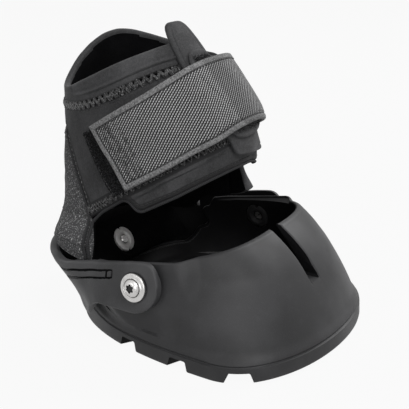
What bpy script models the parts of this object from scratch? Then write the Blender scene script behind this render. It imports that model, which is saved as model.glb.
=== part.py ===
"""Horse hoof boot: a moulded shell with a heel cup and a strapped neoprene gaiter.

The boot stands on its sole at z = 0, with its toe towards -Y. The side that the
strap's free end lies on is -X and is called the near side.
"""
import bpy
import bmesh
from math import atan2, cos, pi, radians, sin, sqrt, tan
from mathutils import Matrix, Vector

MM = 0.001

# Fits shared by all pieces
fit_gap = 0.35 * MM
cup_gap = 0.6 * MM
layer_gap = 0.8 * MM
seam_gap = 0.9 * MM
cut_overrun = 2.0 * MM
pivot_play = 0.6 * MM

# Shell outline, seen from above
sole_half_width = 64.7 * MM
sole_toe_y = -83.4 * MM
sole_mid_y = -44.8 * MM
sole_heel_y = 64.5 * MM
wall_lean_in = 5.9 * MM
rim_toe_y = -49.6 * MM
rim_mid_y = 17.3 * MM
toe_bulge = 5.0 * MM
sole_toe_power = 2.05
rim_toe_power = 3.2
heel_power = 2.42
cup_power = 2.2

# Shell heights and walls
rim_side_z = 44.6 * MM
rim_slope = 0.181
shell_back_z = 18.0 * MM
back_drop_y = 27.0 * MM
back_drop_run = 15.0 * MM
shell_wall = 4.6 * MM
floor_z = 9.0 * MM
sole_lip = 1.2 * MM
flat_inset = 22.0 * MM
sole_band_z = 8.0 * MM
sole_heel_band_z = 13.0 * MM
rocker_y = -62.0 * MM
rocker_rise = 4.0 * MM

# Tread
notch_width = 8.5 * MM
notch_top_width = 5.5 * MM
notch_height = 5.5 * MM
notch_depth = 17.0 * MM
notch_places_y = (4.0 * MM, -28.7 * MM, -60.5 * MM)
frog_half_width = 26.0 * MM
frog_half_length = 34.0 * MM
frog_y = 6.0 * MM
frog_depth = 3.5 * MM

# Toe slot
slot_width = 9.0 * MM
slot_foot_z = 33.0 * MM
slot_corner = 2.0 * MM

# Heel cup
cup_wall = 4.5 * MM
cup_foot_z = 16.0 * MM
cup_foot_y = 60.6 * MM
cup_rim_z = 36.0 * MM
cup_rim_y = 84.5 * MM
tab_radius = 15.5 * MM
seat_radius = 17.5 * MM
groove_width = 4.0 * MM
groove_depth = 1.2 * MM
groove_below_rim = 3.6 * MM

# Side pivots, and the hinge line through both
pivot_y = -3.0 * MM
pivot_z = 37.5 * MM
seat_stand_out = 0.86 * MM
seat_blend = 4.5 * MM
tab_lean = radians(9.0)
washer_radius = 7.2 * MM
washer_height = 1.6 * MM
washer_edge = 0.5 * MM
screw_head_radius = 4.4 * MM
screw_head_height = 1.8 * MM
screw_radius = 2.5 * MM
recess_radius = 1.7 * MM
recess_depth = 1.1 * MM
nut_radius = 7.2 * MM
nut_flange = 1.5 * MM
nut_barrel_radius = 3.6 * MM
nut_barrel = 2.2 * MM
nut_notch_width = 2.0 * MM
nut_notch_depth = 1.6 * MM

# Heel fastening and the padded lining in the cup
heel_screw_z = 20.6 * MM
heel_screw_lean = radians(32.0)
pad_thickness = 10.5 * MM
pad_side_thickness = 4.0 * MM
pad_edge_share = 0.55
pad_foot_z = shell_back_z + 2.0 * fit_gap
pad_top_z = 36.3 * MM
pad_angle = radians(52.0)

# Gaiter tube, seen from above at a row of heights
tube_levels = (37.0 * MM, 48.0 * MM, 62.0 * MM, 78.0 * MM, 100.0 * MM, 110.0 * MM, 136.0 * MM, 162.0 * MM)
tube_half_widths = (54.2 * MM, 48.0 * MM, 44.0 * MM, 42.5 * MM, 40.5 * MM, 40.0 * MM, 38.0 * MM, 34.0 * MM)
tube_fronts = (-23.0 * MM, -23.5 * MM, -24.0 * MM, -24.0 * MM, -24.0 * MM, -22.0 * MM, -2.0 * MM, 19.0 * MM)
tube_backs = (79.5 * MM, 79.5 * MM, 80.0 * MM, 80.0 * MM, 80.0 * MM, 80.0 * MM, 78.5 * MM, 77.0 * MM)
tube_power = 2.15
neoprene = 3.4 * MM
stretch_cloth = 3.0 * MM

# Lines round the gaiter, measured along the tube's leaning axis at named angles
tube_lean = radians(33.4)
seam_angles = tuple(radians(a) for a in (-129.0, -90.0, -30.0, 0.0, 35.0, 70.0, 90.0, 104.0, 135.0, 180.0, 222.0))
rim_ws = (132.0 * MM, 144.0 * MM, 162.0 * MM, 158.0 * MM, 144.0 * MM, 134.0 * MM,
          131.0 * MM, 130.5 * MM, 129.5 * MM, 129.0 * MM, 129.0 * MM)
collar_ws = (118.0 * MM, 124.0 * MM, 136.0 * MM, 135.0 * MM, 129.0 * MM, 123.0 * MM,
             120.0 * MM, 119.0 * MM, 117.0 * MM, 116.0 * MM, 116.0 * MM)
band_ws = (73.0 * MM, 73.0 * MM, 73.0 * MM, 75.0 * MM, 75.0 * MM, 75.0 * MM,
           74.5 * MM, 74.0 * MM, 73.5 * MM, 72.5 * MM, 72.0 * MM)
hem_ws = (58.5 * MM, 58.5 * MM, 58.5 * MM, 70.0 * MM, 71.0 * MM, 71.0 * MM,
          70.0 * MM, 61.5 * MM, 59.5 * MM, 58.5 * MM, 58.5 * MM)

# Gaiter seams
heel_levels = (37.0 * MM, 66.0 * MM, 99.0 * MM)
heel_angles = (radians(84.0), radians(72.0), radians(44.0))
heel_foot_z = 37.0 * MM
heel_top_z = 99.0 * MM
far_leg_z = 43.0 * MM
far_front_angle = radians(-128.4)
wrap_end_angle = radians(222.0)

# Closure
closure_angle = radians(230.8)
tongue_near_angle = radians(158.0)
tongue_centre_angle = radians(176.0)
tongue_tab_angle = radians(18.0)
tongue_tab_z = 153.0 * MM
tongue_foot_w = 66.0 * MM
tongue_thickness = 2.6 * MM
patch_thickness = 1.4 * MM
patch_angles = (radians(177.0), radians(224.0))
patch_low_w = 68.0 * MM
patch_high_w = 118.0 * MM
strap_low_w = 75.0 * MM
strap_high_w = 110.0 * MM
strap_thickness = 2.0 * MM
strap_fold_angle = radians(203.0)
strap_low_end_angle = radians(98.0)
strap_high_end_angle = radians(77.0)
strap_rise_angles = (radians(138.0), radians(156.0))
hook_thickness = 1.0 * MM
hook_inset = 3.5 * MM
loop_thickness = 1.0 * MM
loop_low_angles = (radians(88.0), radians(136.0))
loop_high_angles = (radians(66.0), radians(136.0))
binding_radius = 1.4 * MM

# Joint places
fold_y = 83.0 * MM
fold_z = 37.0 * MM
peel_axis_lift = 4.5 * MM


def mix(a, b, t):
    return a + (b - a) * t


def smooth(low, high, value):
    """Rises smoothly from 0 at low to 1 at high."""
    t = min(1.0, max(0.0, (value - low) / (high - low)))
    return t * t * (3.0 - 2.0 * t)


def along(keys, values, key):
    """Reads a row of values at a key between the named keys."""
    if key <= keys[0]:
        return values[0]
    for i in range(len(keys) - 1):
        if key <= keys[i + 1]:
            return mix(values[i], values[i + 1], (key - keys[i]) / (keys[i + 1] - keys[i]))
    return values[-1]


def along_smoothly(keys, values, key):
    """Reads a row of values on a smooth curve through the named places."""
    last = len(keys) - 1
    i = 0
    while i < last - 1 and key > keys[i + 1]:
        i += 1
    span = keys[i + 1] - keys[i]
    t = min(1.0, max(0.0, (key - keys[i]) / span))

    def slope(k):
        low, high = max(0, k - 1), min(last, k + 1)
        return (values[high] - values[low]) / (keys[high] - keys[low]) * span

    start, end = values[i], values[i + 1]
    return (start * (2 * t ** 3 - 3 * t ** 2 + 1) + slope(i) * (t ** 3 - 2 * t ** 2 + t)
            + end * (3 * t ** 2 - 2 * t ** 3) + slope(i + 1) * (t ** 3 - t ** 2))


def signed_power(value, power):
    return abs(value) ** power * (1.0 if value >= 0.0 else -1.0)


def plan_point(angle, half_width, toe_y, mid_y, heel_y, toe_power, heel_power):
    """A point of an outline seen from above: angle 0 is the heel, a quarter turn the near side."""
    c, s = cos(angle), sin(angle)
    power = heel_power if c >= 0.0 else toe_power
    reach = heel_y - mid_y if c >= 0.0 else mid_y - toe_y
    x = -half_width * signed_power(s, 2.0 / power)
    y = mid_y + reach * signed_power(c, 2.0 / power)
    return x, y


# Shell surfaces

rim_toe_z = rim_side_z + rim_slope * (rim_mid_y - rim_toe_y)
cup_slope = (cup_rim_y - cup_foot_y) / (cup_rim_z - cup_foot_z)
cup_spread = sqrt(1.0 + cup_slope * cup_slope)
seat_x = sole_half_width - wall_lean_in * pivot_z / rim_side_z + seat_stand_out


def cup_back_y(z):
    return cup_foot_y + (z - cup_foot_z) * cup_slope


def shell_back_y(z):
    """The shell's heel wall stands inside the cup's."""
    return cup_back_y(z) - (cup_wall + cup_gap) * cup_spread


def wall_point(angle, z, inset):
    """A point of the shell's wall, inset from its outer face."""
    share = z / rim_side_z
    toe_share = z / rim_toe_z
    half_width = sole_half_width - wall_lean_in * share - inset
    toe_y = mix(sole_toe_y, rim_toe_y, toe_share) - 4.0 * toe_bulge * toe_share * (1.0 - toe_share)
    mid_y = mix(sole_mid_y, rim_mid_y, min(1.0, share))
    toe_power = mix(sole_toe_power, rim_toe_power, sqrt(max(0.0, toe_share)))
    x, y = plan_point(angle, half_width, toe_y + inset * cup_spread, mid_y,
                      shell_back_y(z) - inset * cup_spread, toe_power, heel_power)
    return x, y


def rim_height(y):
    level = rim_side_z + rim_slope * (rim_mid_y - y)
    return mix(level, shell_back_z, smooth(back_drop_y, back_drop_y + back_drop_run, y))


def rim_z_at(angle):
    z = rim_side_z
    for _ in range(12):
        z = mix(z, rim_height(wall_point(angle, z, 0.0)[1]), 0.5)
    return z


def ground_z(y):
    return rocker_rise * max(0.0, (rocker_y - y) / (rocker_y - sole_toe_y))


def band_z(y):
    """The tread band's height rises towards the heel."""
    return mix(sole_band_z, sole_heel_band_z, smooth(rim_mid_y, sole_heel_y, y))


def sole_point(angle, inset):
    return plan_point(angle, sole_half_width - inset, sole_toe_y + inset, sole_mid_y,
                      sole_heel_y - inset, sole_toe_power, heel_power)


def seat_share(y, z):
    """How far the side wall is drawn flat at a place round the pivot."""
    reach = sqrt((y - pivot_y) ** 2 + (z - pivot_z) ** 2)
    return 1.0 - smooth(seat_radius + seat_blend, seat_radius + 3.0 * seat_blend, reach)


def seat_flattened(x, y, z):
    """Draws the wall flat round the side pivot, so that the cup's tab turns on it."""
    return mix(x, seat_x if x > 0.0 else -seat_x, seat_share(y, z))


# Blender helpers

def clear_scene():
    for found in list(bpy.data.objects):
        bpy.data.objects.remove(found, do_unlink=True)
    for store in (bpy.data.meshes, bpy.data.curves, bpy.data.materials, bpy.data.collections):
        for found in list(store):
            store.remove(found)


def finish(name, colour, roughness, metallic=0.0):
    made = bpy.data.materials.new(name)
    made.use_nodes = True
    shader = made.node_tree.nodes["Principled BSDF"]
    shader.inputs["Base Color"].default_value = (*colour, 1.0)
    shader.inputs["Roughness"].default_value = roughness
    shader.inputs["Metallic"].default_value = metallic
    made.diffuse_color = (*colour, 1.0)
    return made


def add_object(name, data, collection, material=None, parent=None):
    made = bpy.data.objects.new(name, data)
    collection.objects.link(made)
    if material:
        made.data.materials.append(material)
    if parent:
        made.parent = parent
        made.matrix_parent_inverse = Matrix.Translation(-parent.location)
    return made


def add_joint_empty(name, place, parent=None):
    made = bpy.data.objects.new(name, None)
    made.empty_display_size = washer_radius
    made.location = place
    parts.objects.link(made)
    if parent:
        made.parent = parent
        made.matrix_parent_inverse = Matrix.Translation(-parent.location)
    bpy.context.view_layer.update()
    return made


def mesh_from(bm, name, crease_angle=radians(35.0)):
    bmesh.ops.recalc_face_normals(bm, faces=bm.faces[:])
    mesh = bpy.data.meshes.new(name)
    bm.to_mesh(mesh)
    bm.free()
    mesh.shade_smooth()
    mesh.set_sharp_from_angle(angle=crease_angle)
    return mesh


def bridge(bm, row_a, row_b, closed):
    count = len(row_a)
    for i in range(count if closed else count - 1):
        j = (i + 1) % count
        bm.faces.new((row_a[i], row_a[j], row_b[j], row_b[i]))


def close_end(bm, ring):
    """Closes a panel's end, whose ring runs up the outer face and down the inner one."""
    last = len(ring) - 1
    for i in range(len(ring) // 2 - 1):
        bm.faces.new((ring[i], ring[i + 1], ring[last - i - 1], ring[last - i]))


def cut(target, cutter, operation="DIFFERENCE"):
    modifier = target.modifiers.new(cutter.name, "BOOLEAN")
    modifier.operation = operation
    modifier.solver = "EXACT"
    modifier.object = cutter


def as_cutter(made):
    made.hide_render = True
    made.display_type = "WIRE"
    return made


def frame_at(place, outward):
    """A frame at a place with its Z axis along the outward direction."""
    return Matrix.Translation(place) @ Vector(outward).to_track_quat("Z", "X").to_matrix().to_4x4()


def cylinder_cutter(name, frame, radius, low, high, sides=32):
    bm = bmesh.new()
    bmesh.ops.create_cone(bm, cap_ends=True, segments=sides, radius1=radius, radius2=radius, depth=high - low)
    bmesh.ops.translate(bm, verts=bm.verts, vec=Vector((0.0, 0.0, mix(low, high, 0.5))))
    made = add_object(name, mesh_from(bm, name), cutters)
    made.matrix_world = frame
    return as_cutter(made)


def turned(name, profile, frame, material, parent, steps):
    """A round piece: its profile runs from the top of the axis down its outer side."""
    mesh = bpy.data.meshes.new(name)
    rims = [(r, 0.0, z) for r, z in profile]
    closed = profile[0][0] > 0.0
    edges = [(i, i + 1) for i in range(len(rims) - 1)] + ([(len(rims) - 1, 0)] if closed else [])
    mesh.from_pydata(rims, edges, [])
    made = add_object(name, mesh, parts, material, parent)
    screw = made.modifiers.new("turn", "SCREW")
    screw.steps = steps
    screw.render_steps = steps
    screw.use_merge_vertices = True
    screw.merge_threshold = 0.00001
    made.matrix_world = frame
    return made


# Shell

ring_steps = 88
wall_shares = (0.0, 0.14, 0.30, 0.47, 0.64, 0.80, 0.92)
inner_shares = (0.90, 0.62, 0.35, 0.10)


def shell_ring(bm, kind, share=0.0, inset=0.0, lift=0.0):
    row = []
    for i in range(ring_steps):
        angle = 2.0 * pi * i / ring_steps
        if kind in ("sole", "band"):
            x, y = sole_point(angle, inset)
            z = ground_z(y) + (lift if kind == "sole" else band_z(y) - sole_lip)
        elif kind == "floor":
            z = floor_z
            x, y = wall_point(angle, z, inset)
        else:
            top = rim_z_at(angle)
            foot_y = sole_point(angle, 0.0)[1]
            low = ground_z(foot_y) + band_z(foot_y) + sole_lip
            z = mix(low, top, share) - lift
            x, y = wall_point(angle, z, inset)
            if kind == "wall":
                x = seat_flattened(x, y, z)
        row.append(bm.verts.new((x, y, z)))
    return row


def close_ring(bm, row, z):
    middle_y = sum(v.co.y for v in row) / len(row)
    middle = bm.verts.new((0.0, middle_y, z))
    for i in range(len(row)):
        bm.faces.new((row[i], row[(i + 1) % len(row)], middle))


def notch_cutter(place_y, side):
    """A wedge that opens a gap between two tread lugs."""
    low, high = 0.0, pi
    for _ in range(40):
        middle = mix(low, high, 0.5)
        if sole_point(middle, 0.0)[1] > place_y:
            low = middle
        else:
            high = middle
    x, y = sole_point(low, 0.0)
    step = radians(1.0)
    ahead, behind = sole_point(low + step, 0.0), sole_point(low - step, 0.0)
    edge = Vector((ahead[0] - behind[0], ahead[1] - behind[1], 0.0)).normalized()
    inward = Vector((-edge.y, edge.x, 0.0))
    if inward.x < 0.0:
        inward.negate()
    rise = ground_z(y)
    bm = bmesh.new()
    rows = []
    for reach in (-cut_overrun - notch_depth * 0.5, notch_depth):
        row = []
        for half, z in ((-notch_width, -cut_overrun), (notch_width, -cut_overrun),
                        (notch_width, rise), (notch_top_width, rise + notch_height),
                        (-notch_top_width, rise + notch_height), (-notch_width, rise)):
            point = Vector((x, y, z)) + edge * (half / 2.0) + inward * reach
            row.append(bm.verts.new((point.x * side, point.y, point.z)))
        rows.append(row)
    bridge(bm, rows[0], rows[1], True)
    bm.faces.new(rows[0])
    bm.faces.new(rows[1])
    name = "notch_cutter"
    return as_cutter(add_object(name, mesh_from(bm, name), cutters))


def slot_cutter():
    """The slot at the toe: open at the rim, with a rounded foot."""
    bm = bmesh.new()
    half = slot_width / 2.0
    outline = [(-half, rim_toe_z + 10.0 * cut_overrun), (-half, slot_foot_z + slot_corner)]
    corner_steps = 4
    for side in (-1.0, 1.0):
        for i in range(corner_steps + 1):
            turn = (i if side < 0.0 else corner_steps - i) / corner_steps * pi / 2.0
            outline.append((side * (half - slot_corner + slot_corner * cos(turn)),
                            slot_foot_z + slot_corner - slot_corner * sin(turn)))
    outline += [(half, slot_foot_z + slot_corner), (half, rim_toe_z + 10.0 * cut_overrun)]
    points = []
    for point in outline:
        if not points or (Vector(point) - Vector(points[-1])).length > MM / 100.0:
            points.append(point)
    rows = []
    for y in (sole_toe_y - cut_overrun, rim_toe_y + 4.0 * shell_wall):
        rows.append([bm.verts.new((x, y, z)) for x, z in points])
    bridge(bm, rows[0], rows[1], True)
    bm.faces.new(rows[0])
    bm.faces.new(rows[1])
    return as_cutter(add_object("slot_cutter", mesh_from(bm, "slot_cutter"), cutters))


def frog_cutter():
    bm = bmesh.new()
    bmesh.ops.create_cone(bm, cap_ends=True, segments=40, radius1=1.0, radius2=1.0, depth=2.0)
    bmesh.ops.scale(bm, verts=bm.verts, vec=Vector((frog_half_width, frog_half_length, frog_depth)))
    bmesh.ops.translate(bm, verts=bm.verts, vec=Vector((0.0, frog_y, 0.0)))
    return as_cutter(add_object("frog_cutter", mesh_from(bm, "frog_cutter"), cutters))


def make_shell():
    bm = bmesh.new()
    rows = [shell_ring(bm, "sole", inset=flat_inset)]
    rows.append(shell_ring(bm, "sole", inset=sole_lip))
    rows.append(shell_ring(bm, "sole", inset=0.0, lift=sole_lip))
    rows.append(shell_ring(bm, "band", inset=sole_lip / 2.0))
    for share in wall_shares:
        rows.append(shell_ring(bm, "wall", share=share))
    rows.append(shell_ring(bm, "rim", share=1.0, inset=shell_wall * 0.12, lift=shell_wall * 0.12))
    rows.append(shell_ring(bm, "rim", share=1.0, inset=shell_wall * 0.5))
    rows.append(shell_ring(bm, "rim", share=1.0, inset=shell_wall * 0.88, lift=shell_wall * 0.12))
    for share in inner_shares:
        rows.append(shell_ring(bm, "inner", share=share, inset=shell_wall))
    rows.append(shell_ring(bm, "floor", inset=shell_wall * 1.6))
    for row_a, row_b in zip(rows, rows[1:]):
        bridge(bm, row_a, row_b, True)
    close_ring(bm, rows[0], 0.0)
    close_ring(bm, rows[-1], floor_z)
    shell = add_object("hoof_shell", mesh_from(bm, "hoof_shell"), parts, rubber)
    for side in (-1.0, 1.0):
        for place_y in notch_places_y:
            cut(shell, notch_cutter(place_y, -side))
    cut(shell, slot_cutter())
    cut(shell, frog_cutter())
    for side in (-1.0, 1.0):
        frame = side_frame(side)
        cut(shell, cylinder_cutter("nut_hole", frame, nut_barrel_radius + fit_gap, -4.0 * shell_wall, cut_overrun))
        cut(shell, cylinder_cutter("nut_seat", frame, nut_radius + fit_gap, -5.0 * shell_wall, nut_seat_depth))
    return shell


# Side pivots

round_steps = 26
tab_share = tan(tab_lean)
side_face = (cup_gap + cup_wall) * cos(tab_lean)
nut_seat_depth = -shell_wall + nut_flange * 0.5


def side_frame(side):
    """The side fastener's frame: on the seat, facing out and a little up."""
    return frame_at((side * seat_x, pivot_y, pivot_z), (side * cos(tab_lean), 0.0, sin(tab_lean)))


def make_fastener(label, frame, face, nut_face, material, parent):
    """A recessed screw with its cup washer outside and its slotted nut inside."""
    top = face + washer_height
    turned(label + "_washer", [
        (screw_radius + fit_gap, top), (screw_head_radius + fit_gap, top), (washer_radius * 0.82, top - washer_edge),
        (washer_radius, face + washer_edge), (washer_radius - washer_edge, face), (screw_radius + fit_gap, face)],
        frame, material, parent, round_steps)
    seat = top + fit_gap
    turned(label + "_screw", [
        (0.0, seat + screw_head_height - recess_depth), (recess_radius, seat + screw_head_height - recess_depth),
        (recess_radius, seat + screw_head_height), (screw_head_radius * 0.7, seat + screw_head_height * 0.85),
        (screw_head_radius, seat + screw_head_height * 0.3), (screw_head_radius, seat), (screw_radius, seat),
        (screw_radius, nut_face), (0.0, nut_face)], frame, material, parent, round_steps)
    bore = screw_radius + fit_gap
    nut = turned(label + "_nut", [
        (bore, nut_face + nut_flange + nut_barrel), (nut_barrel_radius, nut_face + nut_flange + nut_barrel),
        (nut_barrel_radius, nut_face + nut_flange), (nut_radius, nut_face + nut_flange),
        (nut_radius, nut_face + nut_flange * 0.35), (nut_radius - nut_flange * 0.5, nut_face), (bore, nut_face)],
        frame, material, parent, round_steps)
    for side in (-1.0, 1.0):
        bm = bmesh.new()
        bmesh.ops.create_cube(bm, size=1.0)
        bmesh.ops.scale(bm, verts=bm.verts, vec=Vector((nut_notch_depth * 2.0, nut_notch_width, nut_flange * 4.0)))
        bmesh.ops.translate(bm, verts=bm.verts, vec=Vector((side * nut_radius, 0.0, nut_face)))
        cutter = add_object(label + "_nut_notch", mesh_from(bm, "nut_notch"), cutters)
        cutter.matrix_world = frame
        cut(nut, as_cutter(cutter))


# Heel cup

tab_steps = 9
back_steps = 16


def cup_height(y):
    level = rim_side_z + rim_slope * (rim_mid_y - y)
    return mix(level, cup_rim_z, smooth(back_drop_y - tab_radius * 0.4, back_drop_y + 2.0 * back_drop_run, y))


def cup_bounds(y):
    """The lowest and highest point of the cup at a place along the boot."""
    top = cup_height(y)
    if y < pivot_y:
        half = sqrt(max(0.0, tab_radius ** 2 - (y - pivot_y) ** 2))
        return pivot_z - half, min(top, pivot_z + half)
    foot = pivot_z - tab_radius
    return mix(foot, cup_foot_z, smooth(rim_mid_y, back_drop_y + back_drop_run, y)), top


def cup_point(station, z, depth):
    """A point of the cup, at a depth below its outer face. Stations below zero are in the tab."""
    share = z / rim_side_z
    half_width = sole_half_width - wall_lean_in * share + cup_gap + cup_wall - depth
    if station < 0.0:
        y = rim_mid_y + station
        plan_x = half_width
    else:
        x, y = plan_point(pi / 2.0 - station, half_width, sole_toe_y, rim_mid_y,
                          cup_back_y(z) - depth * cup_spread, sole_toe_power, cup_power)
        plan_x = abs(x)
    over_seat = seat_share(y, z)
    tab_x = seat_x + cup_gap + cup_wall - depth
    lean = (z - pivot_z) * tab_share * (1.0 - depth / cup_wall) * over_seat
    return -mix(plan_x, tab_x, over_seat) + lean, y


def cup_stations():
    """Stations from the near tab's front, round the heel, to the far tab's front."""
    length = rim_mid_y - (pivot_y - tab_radius)
    front = [-(length - tab_radius * (1.0 - cos(turn * pi / 2.0 / tab_steps)))
             for turn in range(1, tab_steps + 1)]
    rear = [-(rim_mid_y - pivot_y) * (1.0 - i / 4.0) for i in range(1, 4)]
    near = front + rear
    quarter = [pi / 2.0 * i / back_steps for i in range(back_steps + 1)]
    half = near + quarter
    return [(station, 1.0) for station in half] + [(station, -1.0) for station in reversed(half[:-1])]


def make_cup():
    bm = bmesh.new()
    columns = []
    for station, side in cup_stations():
        _, y = cup_point(station, cup_rim_z, 0.0)
        low, high = cup_bounds(y)
        rounding = (high - low) * 0.04
        inside = smooth(pivot_y + tab_radius * 0.8, pivot_y + tab_radius * 0.95, y)
        notch = groove_depth * inside
        top = high - groove_below_rim
        heights = [(low + rounding, 0.0), (mix(low, top, 0.3), 0.0), (mix(low, top, 0.6), 0.0)]
        if high - low > groove_below_rim + 2.0 * groove_width:
            heights += [(top - groove_width * 1.1, 0.0), (top - groove_width, notch), (top, notch),
                        (top + groove_width * 0.1, 0.0)]
        else:
            heights += [(mix(low, high, share), 0.0) for share in (0.66, 0.74, 0.82, 0.88)]
        heights += [(high - rounding, 0.0), (high, cup_wall * 0.25), (high, cup_wall * 0.75)]
        heights += [(mix(low, high, share), cup_wall) for share in (0.96, 0.75, 0.5, 0.25, 0.04)]
        heights += [(low, cup_wall * 0.75), (low, cup_wall * 0.25)]
        column = []
        for z, depth in heights:
            x, y = cup_point(station, z, depth)
            column.append(bm.verts.new((x * side, y, z)))
        columns.append(column)
    for column_a, column_b in zip(columns, columns[1:]):
        bridge(bm, column_a, column_b, True)
    bm.faces.new(columns[0])
    bm.faces.new(columns[-1])
    cup = add_object("heel_cup", mesh_from(bm, "heel_cup"), parts, rubber, swing)
    for side in (-1.0, 1.0):
        cut(cup, cylinder_cutter("tab_hole", side_frame(side), screw_radius + pivot_play,
                                 -cut_overrun, side_face + cut_overrun))
    cut(cup, cylinder_cutter("heel_hole", heel_frame, screw_radius + fit_gap,
                             -2.0 * cup_wall, 2.0 * cup_wall))
    cut(cup, cylinder_cutter("heel_seat", heel_frame, washer_radius + fit_gap, heel_seat, 3.0 * cup_wall))
    return cup


# Heel pad

heel_frame_place = Vector((0.0, cup_back_y(heel_screw_z), heel_screw_z))
heel_frame = frame_at(heel_frame_place, (0.0, cos(heel_screw_lean), -sin(heel_screw_lean)))
heel_tilt = cos(atan2(cup_slope, 1.0) - heel_screw_lean)
heel_seat = -washer_radius * tan(atan2(cup_slope, 1.0) - heel_screw_lean)
heel_nut_face = -(cup_wall + fit_gap + pad_thickness) / heel_tilt - nut_flange * 0.4


def pad_front(z, share):
    """Depth of the pad's front below the cup's outer face, at a share of its side reach."""
    rise = (z - pad_foot_z) / (pad_top_z - pad_foot_z)
    crown = 1.0 - abs(2.0 * rise - 1.0) ** 3.0 * (1.0 - pad_edge_share)
    return cup_wall + fit_gap + mix(pad_thickness, pad_side_thickness, share * share) * crown


def make_pad():
    bm = bmesh.new()
    columns = []
    steps = 26
    row_shares = (0.0, 0.2, 0.4, 0.6, 0.8, 1.0)
    for i in range(steps + 1):
        share = abs(2.0 * i / steps - 1.0)
        side = 1.0 if i * 2 <= steps else -1.0
        station = pi / 2.0 - pad_angle * share
        places = [(mix(pad_foot_z, pad_top_z, rise), cup_wall + fit_gap) for rise in row_shares]
        places += [(mix(pad_foot_z, pad_top_z, rise), pad_front(mix(pad_foot_z, pad_top_z, rise), share))
                   for rise in reversed(row_shares)]
        column = []
        for z, depth in places:
            x, y = cup_point(station, z, depth)
            column.append(bm.verts.new((x * side, y, z)))
        columns.append(column)
    for column_a, column_b in zip(columns, columns[1:]):
        bridge(bm, column_a, column_b, True)
    close_end(bm, columns[0])
    close_end(bm, columns[-1])
    pad = add_object("heel_pad", mesh_from(bm, "heel_pad"), parts, lining_cloth, swing)
    cut(pad, cylinder_cutter("pad_hole", heel_frame, nut_barrel_radius + fit_gap,
                             -3.0 * pad_thickness, 0.0))
    cut(pad, cylinder_cutter("pad_seat", heel_frame, nut_radius + fit_gap,
                             -4.0 * pad_thickness, heel_nut_face + nut_flange + fit_gap))
    return pad


# Gaiter surfaces

tube_step = 4.0 * MM


def tube_plain(angle, z):
    """A point of the gaiter's outer face. The angle is 0 at the back and a quarter turn on the near side."""
    half_width = along_smoothly(tube_levels, tube_half_widths, z)
    front = along_smoothly(tube_levels, tube_fronts, z)
    back = along_smoothly(tube_levels, tube_backs, z)
    mid_y = mix(front, back, 0.5)
    reach = back - mid_y
    x = -half_width * signed_power(sin(angle), 2.0 / tube_power)
    y = mid_y + reach * signed_power(cos(angle), 2.0 / tube_power)
    return Vector((x, y, z))


def tube_point(angle, z, offset=0.0):
    """A point on or above the gaiter's outer face."""
    place = tube_plain(angle, z)
    if not offset:
        return place
    turn, rise = radians(2.0), tube_step
    along_turn = tube_plain(angle + turn, z) - tube_plain(angle - turn, z)
    along_rise = tube_plain(angle, z + rise) - tube_plain(angle, z - rise)
    return place + along_turn.cross(along_rise).normalized() * offset


def level_z(angle, w):
    """The height at which a line round the gaiter crosses an angle."""
    z = w / cos(tube_lean)
    for _ in range(30):
        z = mix(z, (w - sin(tube_lean) * tube_plain(angle, z).y) / cos(tube_lean), 0.6)
    return z


def line_z(values, angle):
    return level_z(angle, along(seam_angles, values, angle))


def heel_seam(z):
    """The heel panel narrows upwards along one smooth curve through its three named angles."""
    total = 0.0
    for i, (level, angle) in enumerate(zip(heel_levels, heel_angles)):
        weight = 1.0
        for j, other in enumerate(heel_levels):
            if i != j:
                weight *= (z - other) / (level - other)
        total += angle * weight
    return total


def sheet(name, columns, material, parent, thickness, offset=0.0):
    """A closed panel from columns of (angle, z) points on its outer face."""
    bm = bmesh.new()
    rows = []
    for column in columns:
        outer = [tube_point(angle, z, offset) for angle, z in column]
        inner = [tube_point(angle, z, offset - thickness) for angle, z in column]
        rows.append([bm.verts.new(p) for p in outer] + [bm.verts.new(p) for p in reversed(inner)])
    for row_a, row_b in zip(rows, rows[1:]):
        bridge(bm, row_a, row_b, True)
    close_end(bm, rows[0])
    close_end(bm, rows[-1])
    return add_object(name, mesh_from(bm, name), parts, material, parent)


settle_share = 0.65


def grid(low_edge, high_edge, start, end, steps, rows, gap=0.0):
    """Columns between two edges: start and end give the angle at a height, edges the height at an angle."""
    columns = []
    for i in range(steps + 1):
        share = i / steps
        column = []
        for j in range(rows + 1):
            rise = j / rows
            angle = mix(start(0.0), end(0.0), share)
            for _ in range(9):
                low, high = low_edge(angle) + gap, high_edge(angle) - gap
                z = mix(low, high, rise)
                angle = mix(angle, mix(start(z), end(z), share), settle_share)
            column.append((angle, z))
        columns.append(column)
    return columns


def seam_clearance(z):
    return seam_gap / 2.0 / along(tube_levels, tube_half_widths, z)


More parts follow.
